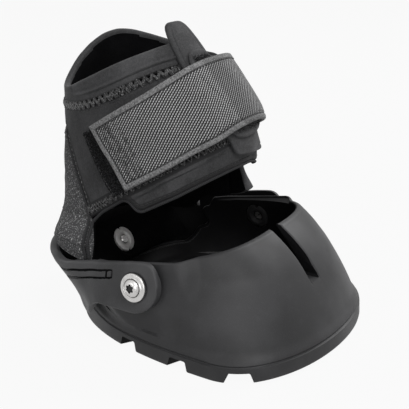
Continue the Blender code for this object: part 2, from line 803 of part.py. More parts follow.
def make_gaiter():
    gap = layer_gap / 2.0

    def rim(angle):
        return line_z(rim_ws, angle)

    def collar_line(angle):
        return line_z(collar_ws, angle)

    def band_line(angle):
        return line_z(band_ws, angle)

    def hem(angle):
        return line_z(hem_ws, angle)

    def near_seam(z):
        return heel_seam(z) + seam_clearance(z)

    def far_seam(z):
        return -heel_seam(z) - seam_clearance(z)

    sheet("collar", grid(collar_line, rim, lambda z: far_front_angle, lambda z: wrap_end_angle, 44, 3, gap),
          smooth_cloth, gaiter, neoprene)
    sheet("near_wrap", grid(band_line, collar_line, near_seam, lambda z: wrap_end_angle, 30, 8, gap),
          smooth_cloth, gaiter, neoprene)
    sheet("lower_band", grid(hem, band_line, near_seam, lambda z: wrap_end_angle, 28, 3, gap),
          smooth_cloth, gaiter, neoprene)
    sheet("far_panel", grid(lambda a: far_leg_z, collar_line, far_seam, lambda z: far_front_angle, 12, 10, gap),
          smooth_cloth, gaiter, neoprene)
    sheet("heel_panel", grid(lambda a: heel_foot_z, lambda a: heel_top_z,
                             lambda z: -heel_seam(z) + seam_clearance(z),
                             lambda z: heel_seam(z) - seam_clearance(z), 24, 10, gap),
          stretch, gaiter, stretch_cloth)
    sheet("tendon_panel", grid(lambda a: heel_top_z, collar_line,
                               lambda z: -heel_seam(z) + seam_clearance(z),
                               lambda z: heel_seam(z) - seam_clearance(z), 12, 1, gap),
          smooth_cloth, gaiter, neoprene)


# Closure

tongue_lift = layer_gap + tongue_thickness


def strap_lift(angle):
    """The strap lies on the tongue at the front and comes down to the wrap beyond it."""
    low = 2.0 * layer_gap + loop_thickness + layer_gap + hook_thickness + strap_thickness
    high = tongue_lift + patch_thickness + 2.0 * layer_gap + strap_thickness
    return mix(low, high, smooth(*strap_rise_angles, angle))


def tongue_top(angle):
    away = (angle - tongue_centre_angle) / tongue_tab_angle
    base = level_z(angle, strap_high_w - hook_inset)
    crown = sqrt(max(0.0, 1.0 - min(1.0, abs(away)) ** 3.0))
    return mix(base, tongue_tab_z, crown) if abs(away) < 1.0 else base


def tongue_foot(angle):
    corner = 1.0 - smooth(tongue_near_angle, tongue_centre_angle, angle)
    return level_z(angle, mix(tongue_foot_w, strap_low_w, corner * corner))


def patch_edge(high, angle):
    share = (angle - patch_angles[0]) / (patch_angles[1] - patch_angles[0])
    crown = 1.0 - abs(2.0 * share - 1.0) ** 4.0 * 0.3
    middle = mix(patch_low_w, patch_high_w, 0.5)
    return level_z(angle, mix(middle, patch_high_w if high else patch_low_w, crown))


def ribbon(name, first, last, lows, highs, lift, thickness, material, parent, steps, rows=5):
    """A strip round the gaiter: first and last give its end angles at a share of its width."""
    columns = []
    for i in range(steps + 1):
        column = []
        for j in range(rows + 1):
            share = j / rows
            angle = mix(first(share), last(share), i / steps)
            column.append((angle, level_z(angle, mix(lows, highs, share))))
        columns.append(column)
    bm = bmesh.new()
    rings = []
    for column in columns:
        outer = [tube_point(a, z, lift(a)) for a, z in column]
        inner = [tube_point(a, z, lift(a) - thickness) for a, z in column]
        rings.append([bm.verts.new(p) for p in outer] + [bm.verts.new(p) for p in reversed(inner)])
    for ring_a, ring_b in zip(rings, rings[1:]):
        bridge(bm, ring_a, ring_b, True)
    close_end(bm, rings[0])
    close_end(bm, rings[-1])
    return add_object(name, mesh_from(bm, name), parts, material, parent)


def make_closure():
    sheet("tongue", grid(tongue_foot, tongue_top, lambda z: tongue_near_angle, lambda z: closure_angle, 24, 8),
          smooth_cloth, closure, tongue_thickness, tongue_lift)
    patch_lift = tongue_lift + layer_gap + patch_thickness
    sheet("tongue_patch", grid(lambda a: patch_edge(False, a), lambda a: patch_edge(True, a),
                               lambda z: patch_angles[0], lambda z: patch_angles[1], 12, 6),
          pile, closure, patch_thickness, patch_lift)
    fold_gap = layer_gap / along(tube_levels, tube_half_widths, tongue_tab_z)
    ribbon("strap_root", lambda s: strap_fold_angle + fold_gap, lambda s: closure_angle,
           strap_low_w, strap_high_w, strap_lift, strap_thickness, webbing, closure, 12)
    ribbon("strap_tail", lambda s: mix(strap_low_end_angle, strap_high_end_angle, s),
           lambda s: strap_fold_angle, strap_low_w, strap_high_w, strap_lift, strap_thickness,
           webbing, tail, 30)
    hook_lift = 2.0 * layer_gap + loop_thickness + hook_thickness
    ribbon("hook_patch", lambda s: mix(strap_low_end_angle, strap_high_end_angle, s) + hook_inset / seat_radius / 2.0,
           lambda s: strap_rise_angles[0] - fold_gap, strap_low_w + hook_inset, strap_high_w - hook_inset,
           lambda a: hook_lift, hook_thickness, pile, tail, 12, 3)
    ribbon("loop_patch", lambda s: mix(loop_low_angles[0], loop_high_angles[0], s),
           lambda s: mix(loop_low_angles[1], loop_high_angles[1], s), strap_low_w + hook_inset / 2.0,
           strap_high_w - hook_inset / 2.0, lambda a: layer_gap + loop_thickness, loop_thickness, pile, gaiter, 14, 3)


def piping(name, places, material, parent, radius):
    """A bound edge: a cord of cloth along a smooth line."""
    curve = bpy.data.curves.new(name, "CURVE")
    curve.dimensions = "3D"
    curve.bevel_depth = radius
    curve.bevel_resolution = 1
    curve.use_fill_caps = True
    spline = curve.splines.new("POLY")
    spline.points.add(len(places) - 1)
    for point, place in zip(spline.points, places):
        point.co = (*place, 1.0)
    return add_object(name, curve, parts, material, parent)


def make_bindings():
    hem_steps = 32
    below = binding_radius + layer_gap / 2.0
    hem_start = heel_seam(line_z(hem_ws, heel_angles[1])) + 3.0 * seam_clearance(far_leg_z)
    places = []
    for i in range(hem_steps + 1):
        angle = mix(hem_start, wrap_end_angle, i / hem_steps)
        places.append(tube_point(angle, line_z(hem_ws, angle) - below, -neoprene / 2.0))
    piping("hem_binding", places, binding, gaiter, binding_radius)
    seam_steps = 16
    for name, side, foot_z in (("near_heel_piping", 1.0, heel_foot_z), ("far_heel_piping", -1.0, far_leg_z)):
        places = []
        for i in range(seam_steps + 1):
            z = mix(foot_z + 2.0 * binding_radius, heel_top_z, i / seam_steps)
            places.append(tube_point(side * heel_seam(z), z, binding_radius + fit_gap))
        piping(name, places, binding, gaiter, binding_radius)


def closure_axis_place():
    mid_z = level_z(closure_angle, mix(strap_low_w, strap_high_w, 0.5))
    return tube_point(closure_angle + 0.5 * (2.0 * pi + far_front_angle - closure_angle), mid_z,
                      strap_lift(closure_angle) + layer_gap)


def peel_axis_ends():
    return [tube_point(strap_fold_angle, level_z(strap_fold_angle, w), strap_lift(strap_fold_angle) + peel_axis_lift)
            for w in (strap_low_w, strap_high_w)]


# The boot, built from the shell up

clear_scene()
parts = bpy.data.collections.new("Horse hoof boot")
cutters = bpy.data.collections.new("Cutters")
for collection in (parts, cutters):
    bpy.context.scene.collection.children.link(collection)

rubber = finish("Moulded rubber", (0.035, 0.035, 0.037), 0.55)
steel = finish("Brushed steel", (0.62, 0.61, 0.59), 0.3, 1.0)
smooth_cloth = finish("Smooth neoprene", (0.022, 0.022, 0.024), 0.8)
stretch = finish("Stretch cloth", (0.04, 0.04, 0.043), 0.85)
lining_cloth = finish("Lining cloth", (0.018, 0.018, 0.02), 0.85)
pile = finish("Hook and loop pile", (0.012, 0.012, 0.013), 0.95)
webbing = finish("Woven webbing", (0.09, 0.09, 0.095), 0.75)
binding = finish("Edge binding", (0.03, 0.03, 0.032), 0.7)

swing = add_joint_empty("heel_swing_axis", (0.0, pivot_y, pivot_z))
gaiter = add_joint_empty("gaiter_fold_axis", (0.0, fold_y, fold_z), swing)
closure = add_joint_empty("front_closure_axis", closure_axis_place(), gaiter)
tail = add_joint_empty("strap_peel_axis", peel_axis_ends()[0], closure)

make_shell()
make_cup()
for label, side in (("near_side", -1.0), ("far_side", 1.0)):
    make_fastener(label, side_frame(side), side_face + pivot_play * 0.8,
                  -shell_wall - nut_flange * 0.5 - fit_gap, steel, None)
make_fastener("heel", heel_frame, heel_seat + fit_gap, heel_nut_face, steel, swing)
make_pad()
make_gaiter()
make_closure()
make_bindings()
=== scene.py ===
"""Horse hoof boot: the finish of every surface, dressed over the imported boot.

The toe points towards -Y. The near side, where the strap's free end lies, is -X.
"""

from math import atan2, cos, hypot, pi, radians, sin, sqrt, tan

import bpy
import bmesh
import numpy as np
from bpy.props import FloatProperty, FloatVectorProperty, PointerProperty
from mathutils import Matrix, Vector, noise
from mathutils.kdtree import KDTree


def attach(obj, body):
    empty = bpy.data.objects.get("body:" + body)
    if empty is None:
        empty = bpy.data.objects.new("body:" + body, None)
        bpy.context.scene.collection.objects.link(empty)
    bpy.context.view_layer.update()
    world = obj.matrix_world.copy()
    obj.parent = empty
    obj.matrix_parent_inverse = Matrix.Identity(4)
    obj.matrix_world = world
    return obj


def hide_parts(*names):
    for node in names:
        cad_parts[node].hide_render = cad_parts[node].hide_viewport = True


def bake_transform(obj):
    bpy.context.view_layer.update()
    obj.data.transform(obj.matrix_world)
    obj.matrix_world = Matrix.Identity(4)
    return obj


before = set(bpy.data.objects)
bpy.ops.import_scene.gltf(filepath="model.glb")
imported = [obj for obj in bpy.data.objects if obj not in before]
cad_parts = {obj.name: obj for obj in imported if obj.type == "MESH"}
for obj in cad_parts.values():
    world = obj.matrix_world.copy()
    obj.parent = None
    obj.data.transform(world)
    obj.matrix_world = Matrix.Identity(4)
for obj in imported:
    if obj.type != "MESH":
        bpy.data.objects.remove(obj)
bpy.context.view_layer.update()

bl_info = {
    "name": "Horse Hoof Boot",
    "version": (1, 0, 0),
    "blender": (4, 5, 0),
    "location": "View3D > Sidebar > Hoof Boot",
    "description": "Dresses a hoof boot: moulded shell, swinging heel cup, padded gaiter and strap",
    "category": "Add Mesh",
}

MM = 0.001

# Points round the shell, round a turned piece and round a cutter
shell_steps = 430
turned_steps = 144
cutter_steps = 72

# Fits
cup_gap = 0.6 * MM
layer_gap = 0.8 * MM
fit_gap = 0.35 * MM
seam_gap = 0.9 * MM
pivot_play = 0.6 * MM

# Shell outline and heights
sole_half_width = 64.7 * MM
sole_toe_y = -83.4 * MM
sole_mid_y = -44.8 * MM
sole_heel_y = 64.5 * MM
wall_lean_in = 5.9 * MM
rim_toe_y = -49.6 * MM
rim_mid_y = 17.3 * MM
toe_bulge = 5.0 * MM
sole_toe_power = 2.05
rim_toe_power = 3.2
heel_power = 2.42
cup_power = 2.2
rim_side_z = 44.6 * MM
rim_slope = 0.181
shell_back_z = 18.0 * MM
back_drop_y = 27.0 * MM
back_drop_run = 15.0 * MM
shell_wall = 4.6 * MM
floor_z = 9.0 * MM
sole_lip = 1.2 * MM
flat_inset = 22.0 * MM
sole_band_z = 8.0 * MM
sole_heel_band_z = 13.0 * MM
rocker_y = -62.0 * MM
rocker_rise = 1.1 * MM
sole_spread = (0.9 * MM, 0.3 * MM)
sole_spread_ys = (-50.0 * MM, 35.0 * MM)
foot_blend = 5.0 * MM
rim_round = 0.9 * MM
rim_taper = 2.4 * MM
rim_taper_reach = 15.0 * MM
floor_fillet = 3.0 * MM
floor_step = 1.1 * MM
floor_ridge = 0.28 * MM

# Tread and toe slot
notch_width = 8.5 * MM
notch_top_width = 5.5 * MM
notch_height = 5.5 * MM
notch_depth = 17.0 * MM
notch_flare = 1.2 * MM
notch_splay = 3.2 * MM
notch_places_y = (4.0 * MM, -28.7 * MM, -60.5 * MM)
frog_half_width = 26.0 * MM
frog_half_length = 34.0 * MM
frog_y = 6.0 * MM
frog_depth = 3.5 * MM
slot_width = 9.0 * MM
slot_foot_z = 33.0 * MM
slot_corner = 2.0 * MM
slot_round = 0.8 * MM

# Heel cup and side pivots
cup_wall = 4.5 * MM
cup_foot_z = 16.0 * MM
cup_foot_y = 60.6 * MM
cup_rim_z = 36.0 * MM
cup_rim_y = 84.5 * MM
tab_radius = 15.5 * MM
seat_radius = 17.5 * MM
pivot_y = -3.0 * MM
pivot_z = 37.5 * MM
seat_stand_out = 0.86 * MM
seat_blend = 4.5 * MM
tab_lean = radians(9.0)
tab_reach = 15.0 * MM
tab_centre = (pivot_y + 2.0 * MM, pivot_z + 1.9 * MM)
cup_round = 1.3 * MM
cup_slant = (2.2 * MM, -3.4 * MM)
cup_taper = 3.7 * MM
cup_raise_ys = np.array((-20.0, 2.0, 20.0, 29.0, 38.0, 52.0, 70.0)) * MM
cup_raises = np.array((2.3, 2.2, 1.3, 1.4, 2.3, 1.3, 0.6)) * MM
groove_end_y = 11.5 * MM
groove_spacing = 3.9 * MM
groove_depth = 1.1 * MM

# Fasteners
washer_radius = 7.2 * MM
washer_height = 1.6 * MM
screw_head_radius = 4.4 * MM
screw_head_height = 1.8 * MM
screw_radius = 2.5 * MM
nut_radius = 7.2 * MM
nut_flange = 1.5 * MM
nut_barrel_radius = 3.6 * MM
nut_barrel = 2.2 * MM
nut_notch_width = 2.0 * MM
nut_notch_depth = 1.6 * MM
socket_lobes = 6
socket_lobe_share = 0.16
heel_screw_z = 20.6 * MM
heel_screw_lean = radians(32.0)

# Heel pad
pad_thickness = 10.5 * MM
pad_side_thickness = 4.0 * MM
pad_edge_share = 0.55
pad_top_z = 36.3 * MM
pad_angle = radians(52.0)

# Gaiter tube, seen from above at a row of heights
tube_levels = np.array((37.0, 48.0, 62.0, 78.0, 100.0, 110.0, 136.0, 162.0)) * MM
tube_half_widths = np.array((54.2, 48.0, 44.0, 42.5, 40.5, 40.0, 38.0, 34.0)) * MM
tube_fronts = np.array((-23.0, -23.5, -24.0, -24.0, -24.0, -22.0, -2.0, 19.0)) * MM
tube_backs = np.array((79.5, 79.5, 80.0, 80.0, 80.0, 80.0, 78.5, 77.0)) * MM
tube_power = 2.15
neoprene = 3.4 * MM
stretch_cloth = 3.0 * MM
lining_cloth = 1.1 * MM
lining_gap = 0.7 * MM

# Lines round the gaiter along its leaning axis, at named angles
tube_lean = radians(33.4)
seam_angles = np.radians((-129.0, -90.0, -30.0, 0.0, 35.0, 70.0, 90.0, 104.0, 135.0, 180.0, 222.0))
rim_angles = np.radians((-129.0, -112.0, -90.0, -75.0, -60.0, -45.0, -30.0, -15.0, 0.0, 15.0, 35.0, 50.0,
                         67.0, 93.0, 135.0, 166.0, 184.0, 222.0))
rim_ws = np.array((117.0, 127.0, 137.0, 145.0, 152.5, 158.5, 161.0, 160.0, 156.0, 148.5, 141.0, 137.5,
                   135.6, 133.0, 130.4, 129.4, 121.5, 116.0)) * MM
collar_ws = np.array((107.0, 125.0, 137.0, 138.0, 134.0, 124.5, 120.8, 119.5, 117.8, 114.5, 109.5)) * MM
band_ws = np.array((73.0, 73.0, 73.0, 75.0, 75.0, 75.0, 74.5, 74.0, 73.5, 72.5, 72.0)) * MM
hem_angles = np.radians((-129.0, 0.0, 35.0, 99.0, 107.0, 129.0, 180.0, 222.0))
hem_ws = np.array((58.5, 66.0, 71.0, 71.4, 61.6, 59.8, 58.8, 58.8)) * MM
heel_levels = np.array((37.0, 66.0, 99.0)) * MM
heel_angles = np.radians((84.0, 72.0, 44.0))
heel_foot_z = 37.0 * MM
heel_top_z = 99.0 * MM
heel_cross_z = 47.0 * MM
heel_cross_rise = 10.0 * MM
far_leg_z = 43.0 * MM
far_front_angle = radians(-128.4)
far_flare = radians(25.0)
far_hem_angles = np.radians((-152.0, -140.0, -130.0, -120.0, -110.0, -100.0, -90.0, -80.0, -70.0))
far_hem_heights = np.array((66.5, 61.5, 57.6, 54.6, 52.0, 49.8, 47.5, 45.5, 43.0)) * MM
far_flare_levels = (52.0 * MM, 78.0 * MM)
wrap_end_angle = radians(222.0)
facing_end_angle = radians(60.0)
facing_foot = 3.2 * MM
front_swell_lift = 3.2 * MM
front_swell_angles = (radians(196.0), radians(216.0))
front_swell_levels = (86.0 * MM, 102.0 * MM)
flare_angles = (radians(30.0), radians(62.0))
flare_crests = (39.0 * MM, 45.0 * MM)
flare_reaches = (3.4 * MM, 6.8 * MM)
flare_rise = 12.0 * MM
flare_end_z = 60.0 * MM
lining_far_angle = radians(-118.0)
lining_near_turn = radians(2.5)
lining_foot_angles = np.radians((-120.0, -110.0, -100.0, -92.0, -86.0, -80.0, -64.0, -54.0))
lining_foot_heights = np.array((55.6, 53.0, 50.8, 48.6, 43.5, 38.5, 36.0, 38.6)) * MM

# Closure. The layers lie close on each other
snug_gap = 0.35 * MM
closure_angle = radians(230.8)
tongue_near_angles = (radians(162.5), radians(155.4))
tongue_centre_angle = radians(170.6)
tongue_tab_angle = radians(15.2)
tongue_tab_z = 156.0 * MM
tongue_foot_z = 95.0 * MM
tongue_thickness = 2.3 * MM
patch_thickness = 1.1 * MM
patch_near_angles = (radians(164.5), radians(161.5))
patch_far_angles = (radians(206.0), radians(184.0))
patch_levels = (102.0 * MM, 142.0 * MM)
strap_low_ws = (74.0 * MM, 77.0 * MM)
strap_high_ws = (111.0 * MM, 113.6 * MM)
strap_turn_angles = (radians(112.0), radians(172.0))
strap_thickness = 2.0 * MM
strap_fold_angle = radians(203.0)
strap_low_end_angle = radians(101.5)
strap_high_end_angle = radians(80.2)
strap_rise_angles = (radians(138.0), radians(156.0))
strap_width = 38.0 * MM
strap_length = 122.0 * MM
strap_border = 3.1 * MM
strap_fold_z = 106.0 * MM
strap_fold_turn = radians(6.0)
end_row_places = (6.4 * MM, 11.0 * MM)
crease_place = 74.0 * MM
twill_lean = radians(33.0)
twill_pitch = 1.22 * MM
tuft_radius = 0.09 * MM
tongue_tufts = 2600
loop_tufts = 3000
stitch_share = 0.72
hook_thickness = 1.0 * MM
hook_inset = 3.5 * MM
loop_thickness = 1.0 * MM
loop_low_angles = (radians(92.5), radians(136.0))
loop_high_angles = (radians(71.0), radians(136.0))
binding_radius = 0.85 * MM
cord_radius = 0.7 * MM

# Camera fitted to the boot
camera_azimuth = radians(-57.557)
camera_elevation = radians(20.132)
camera_distance = 528.265 * MM
camera_target = Vector((4.206, 1.0, 58.788)) * MM
camera_lens = 86.6
camera_sensor = 36.0

# Stage
floor_size = 6.0
floor_grey = (0.38, 0.38, 0.38, 1.0)
floor_glow = 0.93
sky_level = 0.2
light_aim = Vector((0.0, 0.0, 60.0)) * MM
lights = (
    ("key", (-0.4, -0.7, 1.1), 7.0, 0.5),
    ("camera fill", (-0.95, -0.6, 0.4), 2.0, 0.4),
    ("side fill", (-1.1, 0.35, 0.6), 1.6, 0.5),
    ("rim light", (0.75, -0.2, 0.75), 4.5, 0.4),
)
white = (1.0, 1.0, 1.0, 1.0)


def mix(a, b, t):
    return a + (b - a) * t


def smooth(low, high, value):
    """Rises smoothly from 0 at low to 1 at high."""
    t = np.clip((value - low) / (high - low), 0.0, 1.0)
    return t * t * (3.0 - 2.0 * t)


def signed_power(value, power):
    return np.sign(value) * np.abs(value) ** power


def dome(value, centre, half):
    """A smooth hump, 1 at its centre and 0 beyond its half width."""
    return 1.0 - smooth(0.0, half, np.abs(value - centre))


def unit(vectors):
    return vectors / np.maximum(np.linalg.norm(vectors, axis=-1, keepdims=True), 1e-12)


def ripple(places, size, seed=0.0, detail=1):
    """Soft noise of about -1 to 1 at each place, with features of the given size."""
    flat = places.reshape(-1, 3) / size
    found = [noise.fractal(Vector((x + seed, y - seed, z + 2.0 * seed)), 0.6, 2.0, detail)
             for x, y, z in flat]
    return np.array(found).reshape(places.shape[:-1])


def along_smoothly(keys, values, key):
    """Reads a row of values on a smooth curve through the named places."""
    slopes = np.gradient(values, keys)
    slopes[1:-1] = (values[2:] - values[:-2]) / (keys[2:] - keys[:-2])
    i = np.clip(np.searchsorted(keys, key, side="left") - 1, 0, len(keys) - 2)
    span = keys[i + 1] - keys[i]
    t = np.clip((key - keys[i]) / span, 0.0, 1.0)
    return (values[i] * (2 * t ** 3 - 3 * t ** 2 + 1) + slopes[i] * span * (t ** 3 - 2 * t ** 2 + t)
            + values[i + 1] * (3 * t ** 2 - 2 * t ** 3) + slopes[i + 1] * span * (t ** 3 - t ** 2))


# Shell surfaces

rim_toe_z = rim_side_z + rim_slope * (rim_mid_y - rim_toe_y)
cup_slope = (cup_rim_y - cup_foot_y) / (cup_rim_z - cup_foot_z)
cup_spread = sqrt(1.0 + cup_slope * cup_slope)
seat_x = sole_half_width - wall_lean_in * pivot_z / rim_side_z + seat_stand_out
tab_share = tan(tab_lean)


def plan_point(angle, half_width, toe_y, mid_y, heel_y, toe_power, back_power):
    """A point of an outline seen from above: angle 0 is the heel, a quarter turn the near side."""
    c, s = np.cos(angle), np.sin(angle)
    power = np.where(c >= 0.0, back_power, toe_power)
    reach = np.where(c >= 0.0, heel_y - mid_y, mid_y - toe_y)
    return -half_width * signed_power(s, 2.0 / power), mid_y + reach * signed_power(c, 2.0 / power)


def cup_back_y(z):
    return cup_foot_y + (z - cup_foot_z) * cup_slope


def wall_point(angle, z, inset):
    """A point of the shell's wall, inset from its outer face."""
    share = z / rim_side_z
    toe_share = z / rim_toe_z
    half_width = sole_half_width - wall_lean_in * share - inset
    toe_y = mix(sole_toe_y, rim_toe_y, toe_share) - 4.0 * toe_bulge * toe_share * (1.0 - toe_share)
    mid_y = mix(sole_mid_y, rim_mid_y, np.minimum(1.0, share))
    toe_power = mix(sole_toe_power, rim_toe_power, np.sqrt(np.maximum(0.0, toe_share)))
    heel_y = cup_back_y(z) - (cup_wall + cup_gap) * cup_spread
    return plan_point(angle, half_width, toe_y + inset * cup_spread, mid_y,
                      heel_y - inset * cup_spread, toe_power, heel_power)


def sole_point(angle, inset):
    return plan_point(angle, sole_half_width - inset, sole_toe_y + inset, sole_mid_y,
                      sole_heel_y - inset, sole_toe_power, heel_power)


def rim_height(y):
    level = rim_side_z + rim_slope * (rim_mid_y - y)
    return mix(level, shell_back_z, smooth(back_drop_y, back_drop_y + back_drop_run, y))


def rim_z_at(angle):
    z = np.full_like(angle, rim_side_z)
    for _ in range(12):
        z = mix(z, rim_height(wall_point(angle, z, 0.0)[1]), 0.5)
    return z


def ground_z(y):
    return rocker_rise * np.maximum(0.0, (rocker_y - y) / (rocker_y - sole_toe_y))


def band_z(y):
    """The tread band's height rises towards the heel."""
    return mix(sole_band_z, sole_heel_band_z, smooth(rim_mid_y, sole_heel_y, y))


def seat_share(y, z):
    """How far the side wall is drawn flat at a place round the pivot."""
    reach = np.sqrt((y - pivot_y) ** 2 + (z - pivot_z) ** 2)
    return 1.0 - smooth(seat_radius + seat_blend, seat_radius + 3.0 * seat_blend, reach)


def cup_height(y):
    level = rim_side_z + rim_slope * (rim_mid_y - y)
    return mix(level, cup_rim_z, smooth(back_drop_y - tab_radius * 0.4, back_drop_y + 2.0 * back_drop_run, y))


def cup_point(station, z, depth):
    """A point of the cup's near half, at a depth below its outer face. Stations below zero are in the tab."""
    half_width = sole_half_width - wall_lean_in * z / rim_side_z + cup_gap + cup_wall - depth
    x, y = plan_point(pi / 2.0 - np.maximum(station, 0.0), half_width, sole_toe_y, rim_mid_y,
                      cup_back_y(z) - depth * cup_spread, sole_toe_power, cup_power)
    y = np.where(station < 0.0, rim_mid_y + station, y)
    plan_x = np.where(station < 0.0, half_width, np.abs(x))
    over_seat = seat_share(y, z)
    tab_x = seat_x + cup_gap + cup_wall - depth
    lean = (z - pivot_z) * tab_share * (1.0 - depth / cup_wall) * over_seat
    return -mix(plan_x, tab_x, over_seat) + lean, y


# Gaiter surfaces

def tube_plain(angle, z):
    """A point of the gaiter's outer face. The angle is 0 at the back and a quarter turn on the near side."""
    half_width = along_smoothly(tube_levels, tube_half_widths, z)
    front = along_smoothly(tube_levels, tube_fronts, z)
    back = along_smoothly(tube_levels, tube_backs, z)
    mid_y = mix(front, back, 0.5)
    x = -half_width * signed_power(np.sin(angle), 2.0 / tube_power)
    y = mid_y + (back - mid_y) * signed_power(np.cos(angle), 2.0 / tube_power)
    return np.stack([x, y, z + 0.0 * x], axis=-1)


def tube_frame(angle, z):
    """The outer face's place and outward direction."""
    turn, rise = radians(2.0), 4.0 * MM
    along_turn = tube_plain(angle + turn, z) - tube_plain(angle - turn, z)
    along_rise = tube_plain(angle, z + rise) - tube_plain(angle, z - rise)
    out = unit(np.cross(along_turn, along_rise))
    return tube_plain(angle, z) + out * front_swell(angle, z)[..., None], out


def front_swell(angle, z):
    """The foot of the gaiter's front end stands away from the pastern."""
    return front_swell_lift * smooth(*front_swell_angles, angle) * (1.0 - smooth(*front_swell_levels, z))


def level_z(angle, w):
    """The height at which a line round the gaiter crosses an angle."""
    z = (w + 0.0 * angle) / cos(tube_lean)
    for _ in range(30):
        z = mix(z, (w - sin(tube_lean) * tube_plain(angle, z)[..., 1]) / cos(tube_lean), 0.6)
    return z


class Line:
    """A seam round the gaiter: smooth through its named places, and read by angle."""

    table_angles = np.radians(np.arange(-132.0, 236.0, 1.0))

    def __init__(self, angles, values, spread=9.0):
        turns = np.radians(np.linspace(-spread, spread, 7))
        rows = [np.interp(self.table_angles + turn, angles, values) for turn in turns]
        self.heights = level_z(self.table_angles, np.mean(rows, axis=0))

    def __call__(self, angle):
        return np.interp(angle, self.table_angles, self.heights)


rim_line = Line(rim_angles, rim_ws)
collar_line = Line(seam_angles, collar_ws)
band_line = Line(seam_angles, band_ws)
hem_line = Line(hem_angles, hem_ws, 3.0)


def heel_seam(z):
    """The heel panel narrows upwards along one smooth curve through its three named angles."""
    total = 0.0
    for i, (level, angle) in enumerate(zip(heel_levels, heel_angles)):
        weight = 1.0
        for j, other in enumerate(heel_levels):
            if i != j:
                weight = weight * (z - other) / (level - other)
        total = total + angle * weight
    return total


def seam_clearance(z):
    return seam_gap / 2.0 / np.interp(z, tube_levels, tube_half_widths)


loop_lift = snug_gap + loop_thickness
hook_lift = loop_lift + snug_gap + hook_thickness
tongue_lift = snug_gap + tongue_thickness
patch_lift = tongue_lift + snug_gap + patch_thickness


def strap_lift(angle, share=0.5):
    """The strap lies on the tongue at the front and comes down to the wrap beyond it."""
    bulge = 1.0 * MM * (1.0 - share)
    over_tongue = smooth(*strap_rise_angles, angle)
    return mix(hook_lift, patch_lift + bulge, over_tongue) + snug_gap + strap_thickness


def strap_low(angle):
    return mix(*strap_low_ws, smooth(*strap_turn_angles, angle))


def strap_high(angle):
    return mix(*strap_high_ws, smooth(*strap_turn_angles, angle))


# Mesh helpers

def new_mesh(name, verts, faces):
    mesh = bpy.data.meshes.new(name)
    mesh.from_pydata(np.asarray(verts).tolist(), [], [list(f) for f in faces])
    return mesh


def linked(name, data):
    """A new object in the scene, for a mesh, a light or a camera."""
    made = bpy.data.objects.new(name, data)
    bpy.context.scene.collection.objects.link(made)
    return made


def settled(mesh, weld=0.0, outward=True):
    """The mesh with points closer than the weld distance joined, and its faces turned outward."""
    bm = bmesh.new()
    bm.from_mesh(mesh)
    if weld:
        bmesh.ops.remove_doubles(bm, verts=bm.verts, dist=weld)
    if outward:
        bmesh.ops.recalc_face_normals(bm, faces=bm.faces[:])
    bm.to_mesh(mesh)
    bm.free()
    return mesh


def add_piece(name, verts, faces, finish, body, weave=None, crease=radians(48.0)):
    """A mesh piece on its body, with its finish and its cloth coordinates."""
    mesh = new_mesh(name, verts, faces)
    if weave is not None:
        mesh.attributes.new("weave", "FLOAT_VECTOR", "POINT").data.foreach_set("vector", np.ravel(weave))
    mesh.validate()
    return place_mesh(name, mesh, finish, body, crease)


def place_mesh(name, mesh, finish, body, crease=radians(48.0)):
    mesh.shade_smooth()
    mesh.set_sharp_from_angle(angle=crease)
    mesh.materials.clear()
    mesh.materials.append(finish)
    piece = linked(name, mesh)
    if body == "gaiter_and_cup":
        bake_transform(piece)
    elif body:
        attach(piece, body)
    return piece


def quads(columns, rows, first=0, closed=False, flip=False):
    """The faces of a grid of columns by rows of points. A closed one joins its last column to its first."""
    i = np.arange(columns if closed else columns - 1)[:, None]
    j = np.arange(rows - 1)[None, :]
    a = first + i * rows + j
    b = first + (i + 1) % columns * rows + j
    found = np.stack([a, b, b + 1, a + 1], axis=-1).reshape(-1, 4)
    return (found[:, ::-1] if flip else found).tolist()


def spaced(length, step, edge):
    """Shares across a length, close together at both rounded edges."""
    count = max(2, round((length - 2.0 * edge) / step))
    near = edge * np.array((0.0, 0.05, 0.2, 0.45, 0.72))
    return np.concatenate([near, np.linspace(edge, length - edge, count + 1), length - near[::-1]]) / length


def border_of(columns, rows):
    """The grid's border as vertex numbers, in order round the outside."""
    low = [i * rows for i in range(columns)]
    right = [(columns - 1) * rows + j for j in range(1, rows)]
    high = [i * rows + rows - 1 for i in range(columns - 2, -1, -1)]
    left = list(range(rows - 2, 0, -1))
    return low + right + high + left


def double_faces(columns, rows):
    """The faces of an outer and an inner grid that are joined along their borders."""
    count = columns * rows
    ring = border_of(columns, rows)
    edges = [(a + count, b + count, b, a) for a, b in zip(ring, ring[1:] + ring[:1])]
    return quads(columns, rows) + quads(columns, rows, first=count, flip=True) + edges


def edge_distance(places):
    """Each grid point's distance to the grid's border."""
    columns, rows = places.shape[:2]
    flat = places.reshape(-1, 3)
    border = flat[border_of(columns, rows)]
    tree_points = []
    for start, end in zip(border, np.roll(border, -1, axis=0)):
        parts = max(1, int(np.linalg.norm(end - start) / (0.3 * MM)))
        tree_points += [mix(start, end, k / parts) for k in range(parts)]
    tree = KDTree(len(tree_points))
    for i, point in enumerate(tree_points):
        tree.insert(point, i)
    tree.balance()
    return np.array([tree.find(p)[2] for p in flat]).reshape(columns, rows)


def rounding(distance, radius):
    """How far a rounded edge drops at a distance from the border."""
    inside = np.clip(radius - distance, 0.0, radius)
    return radius - np.sqrt(radius * radius - inside * inside)


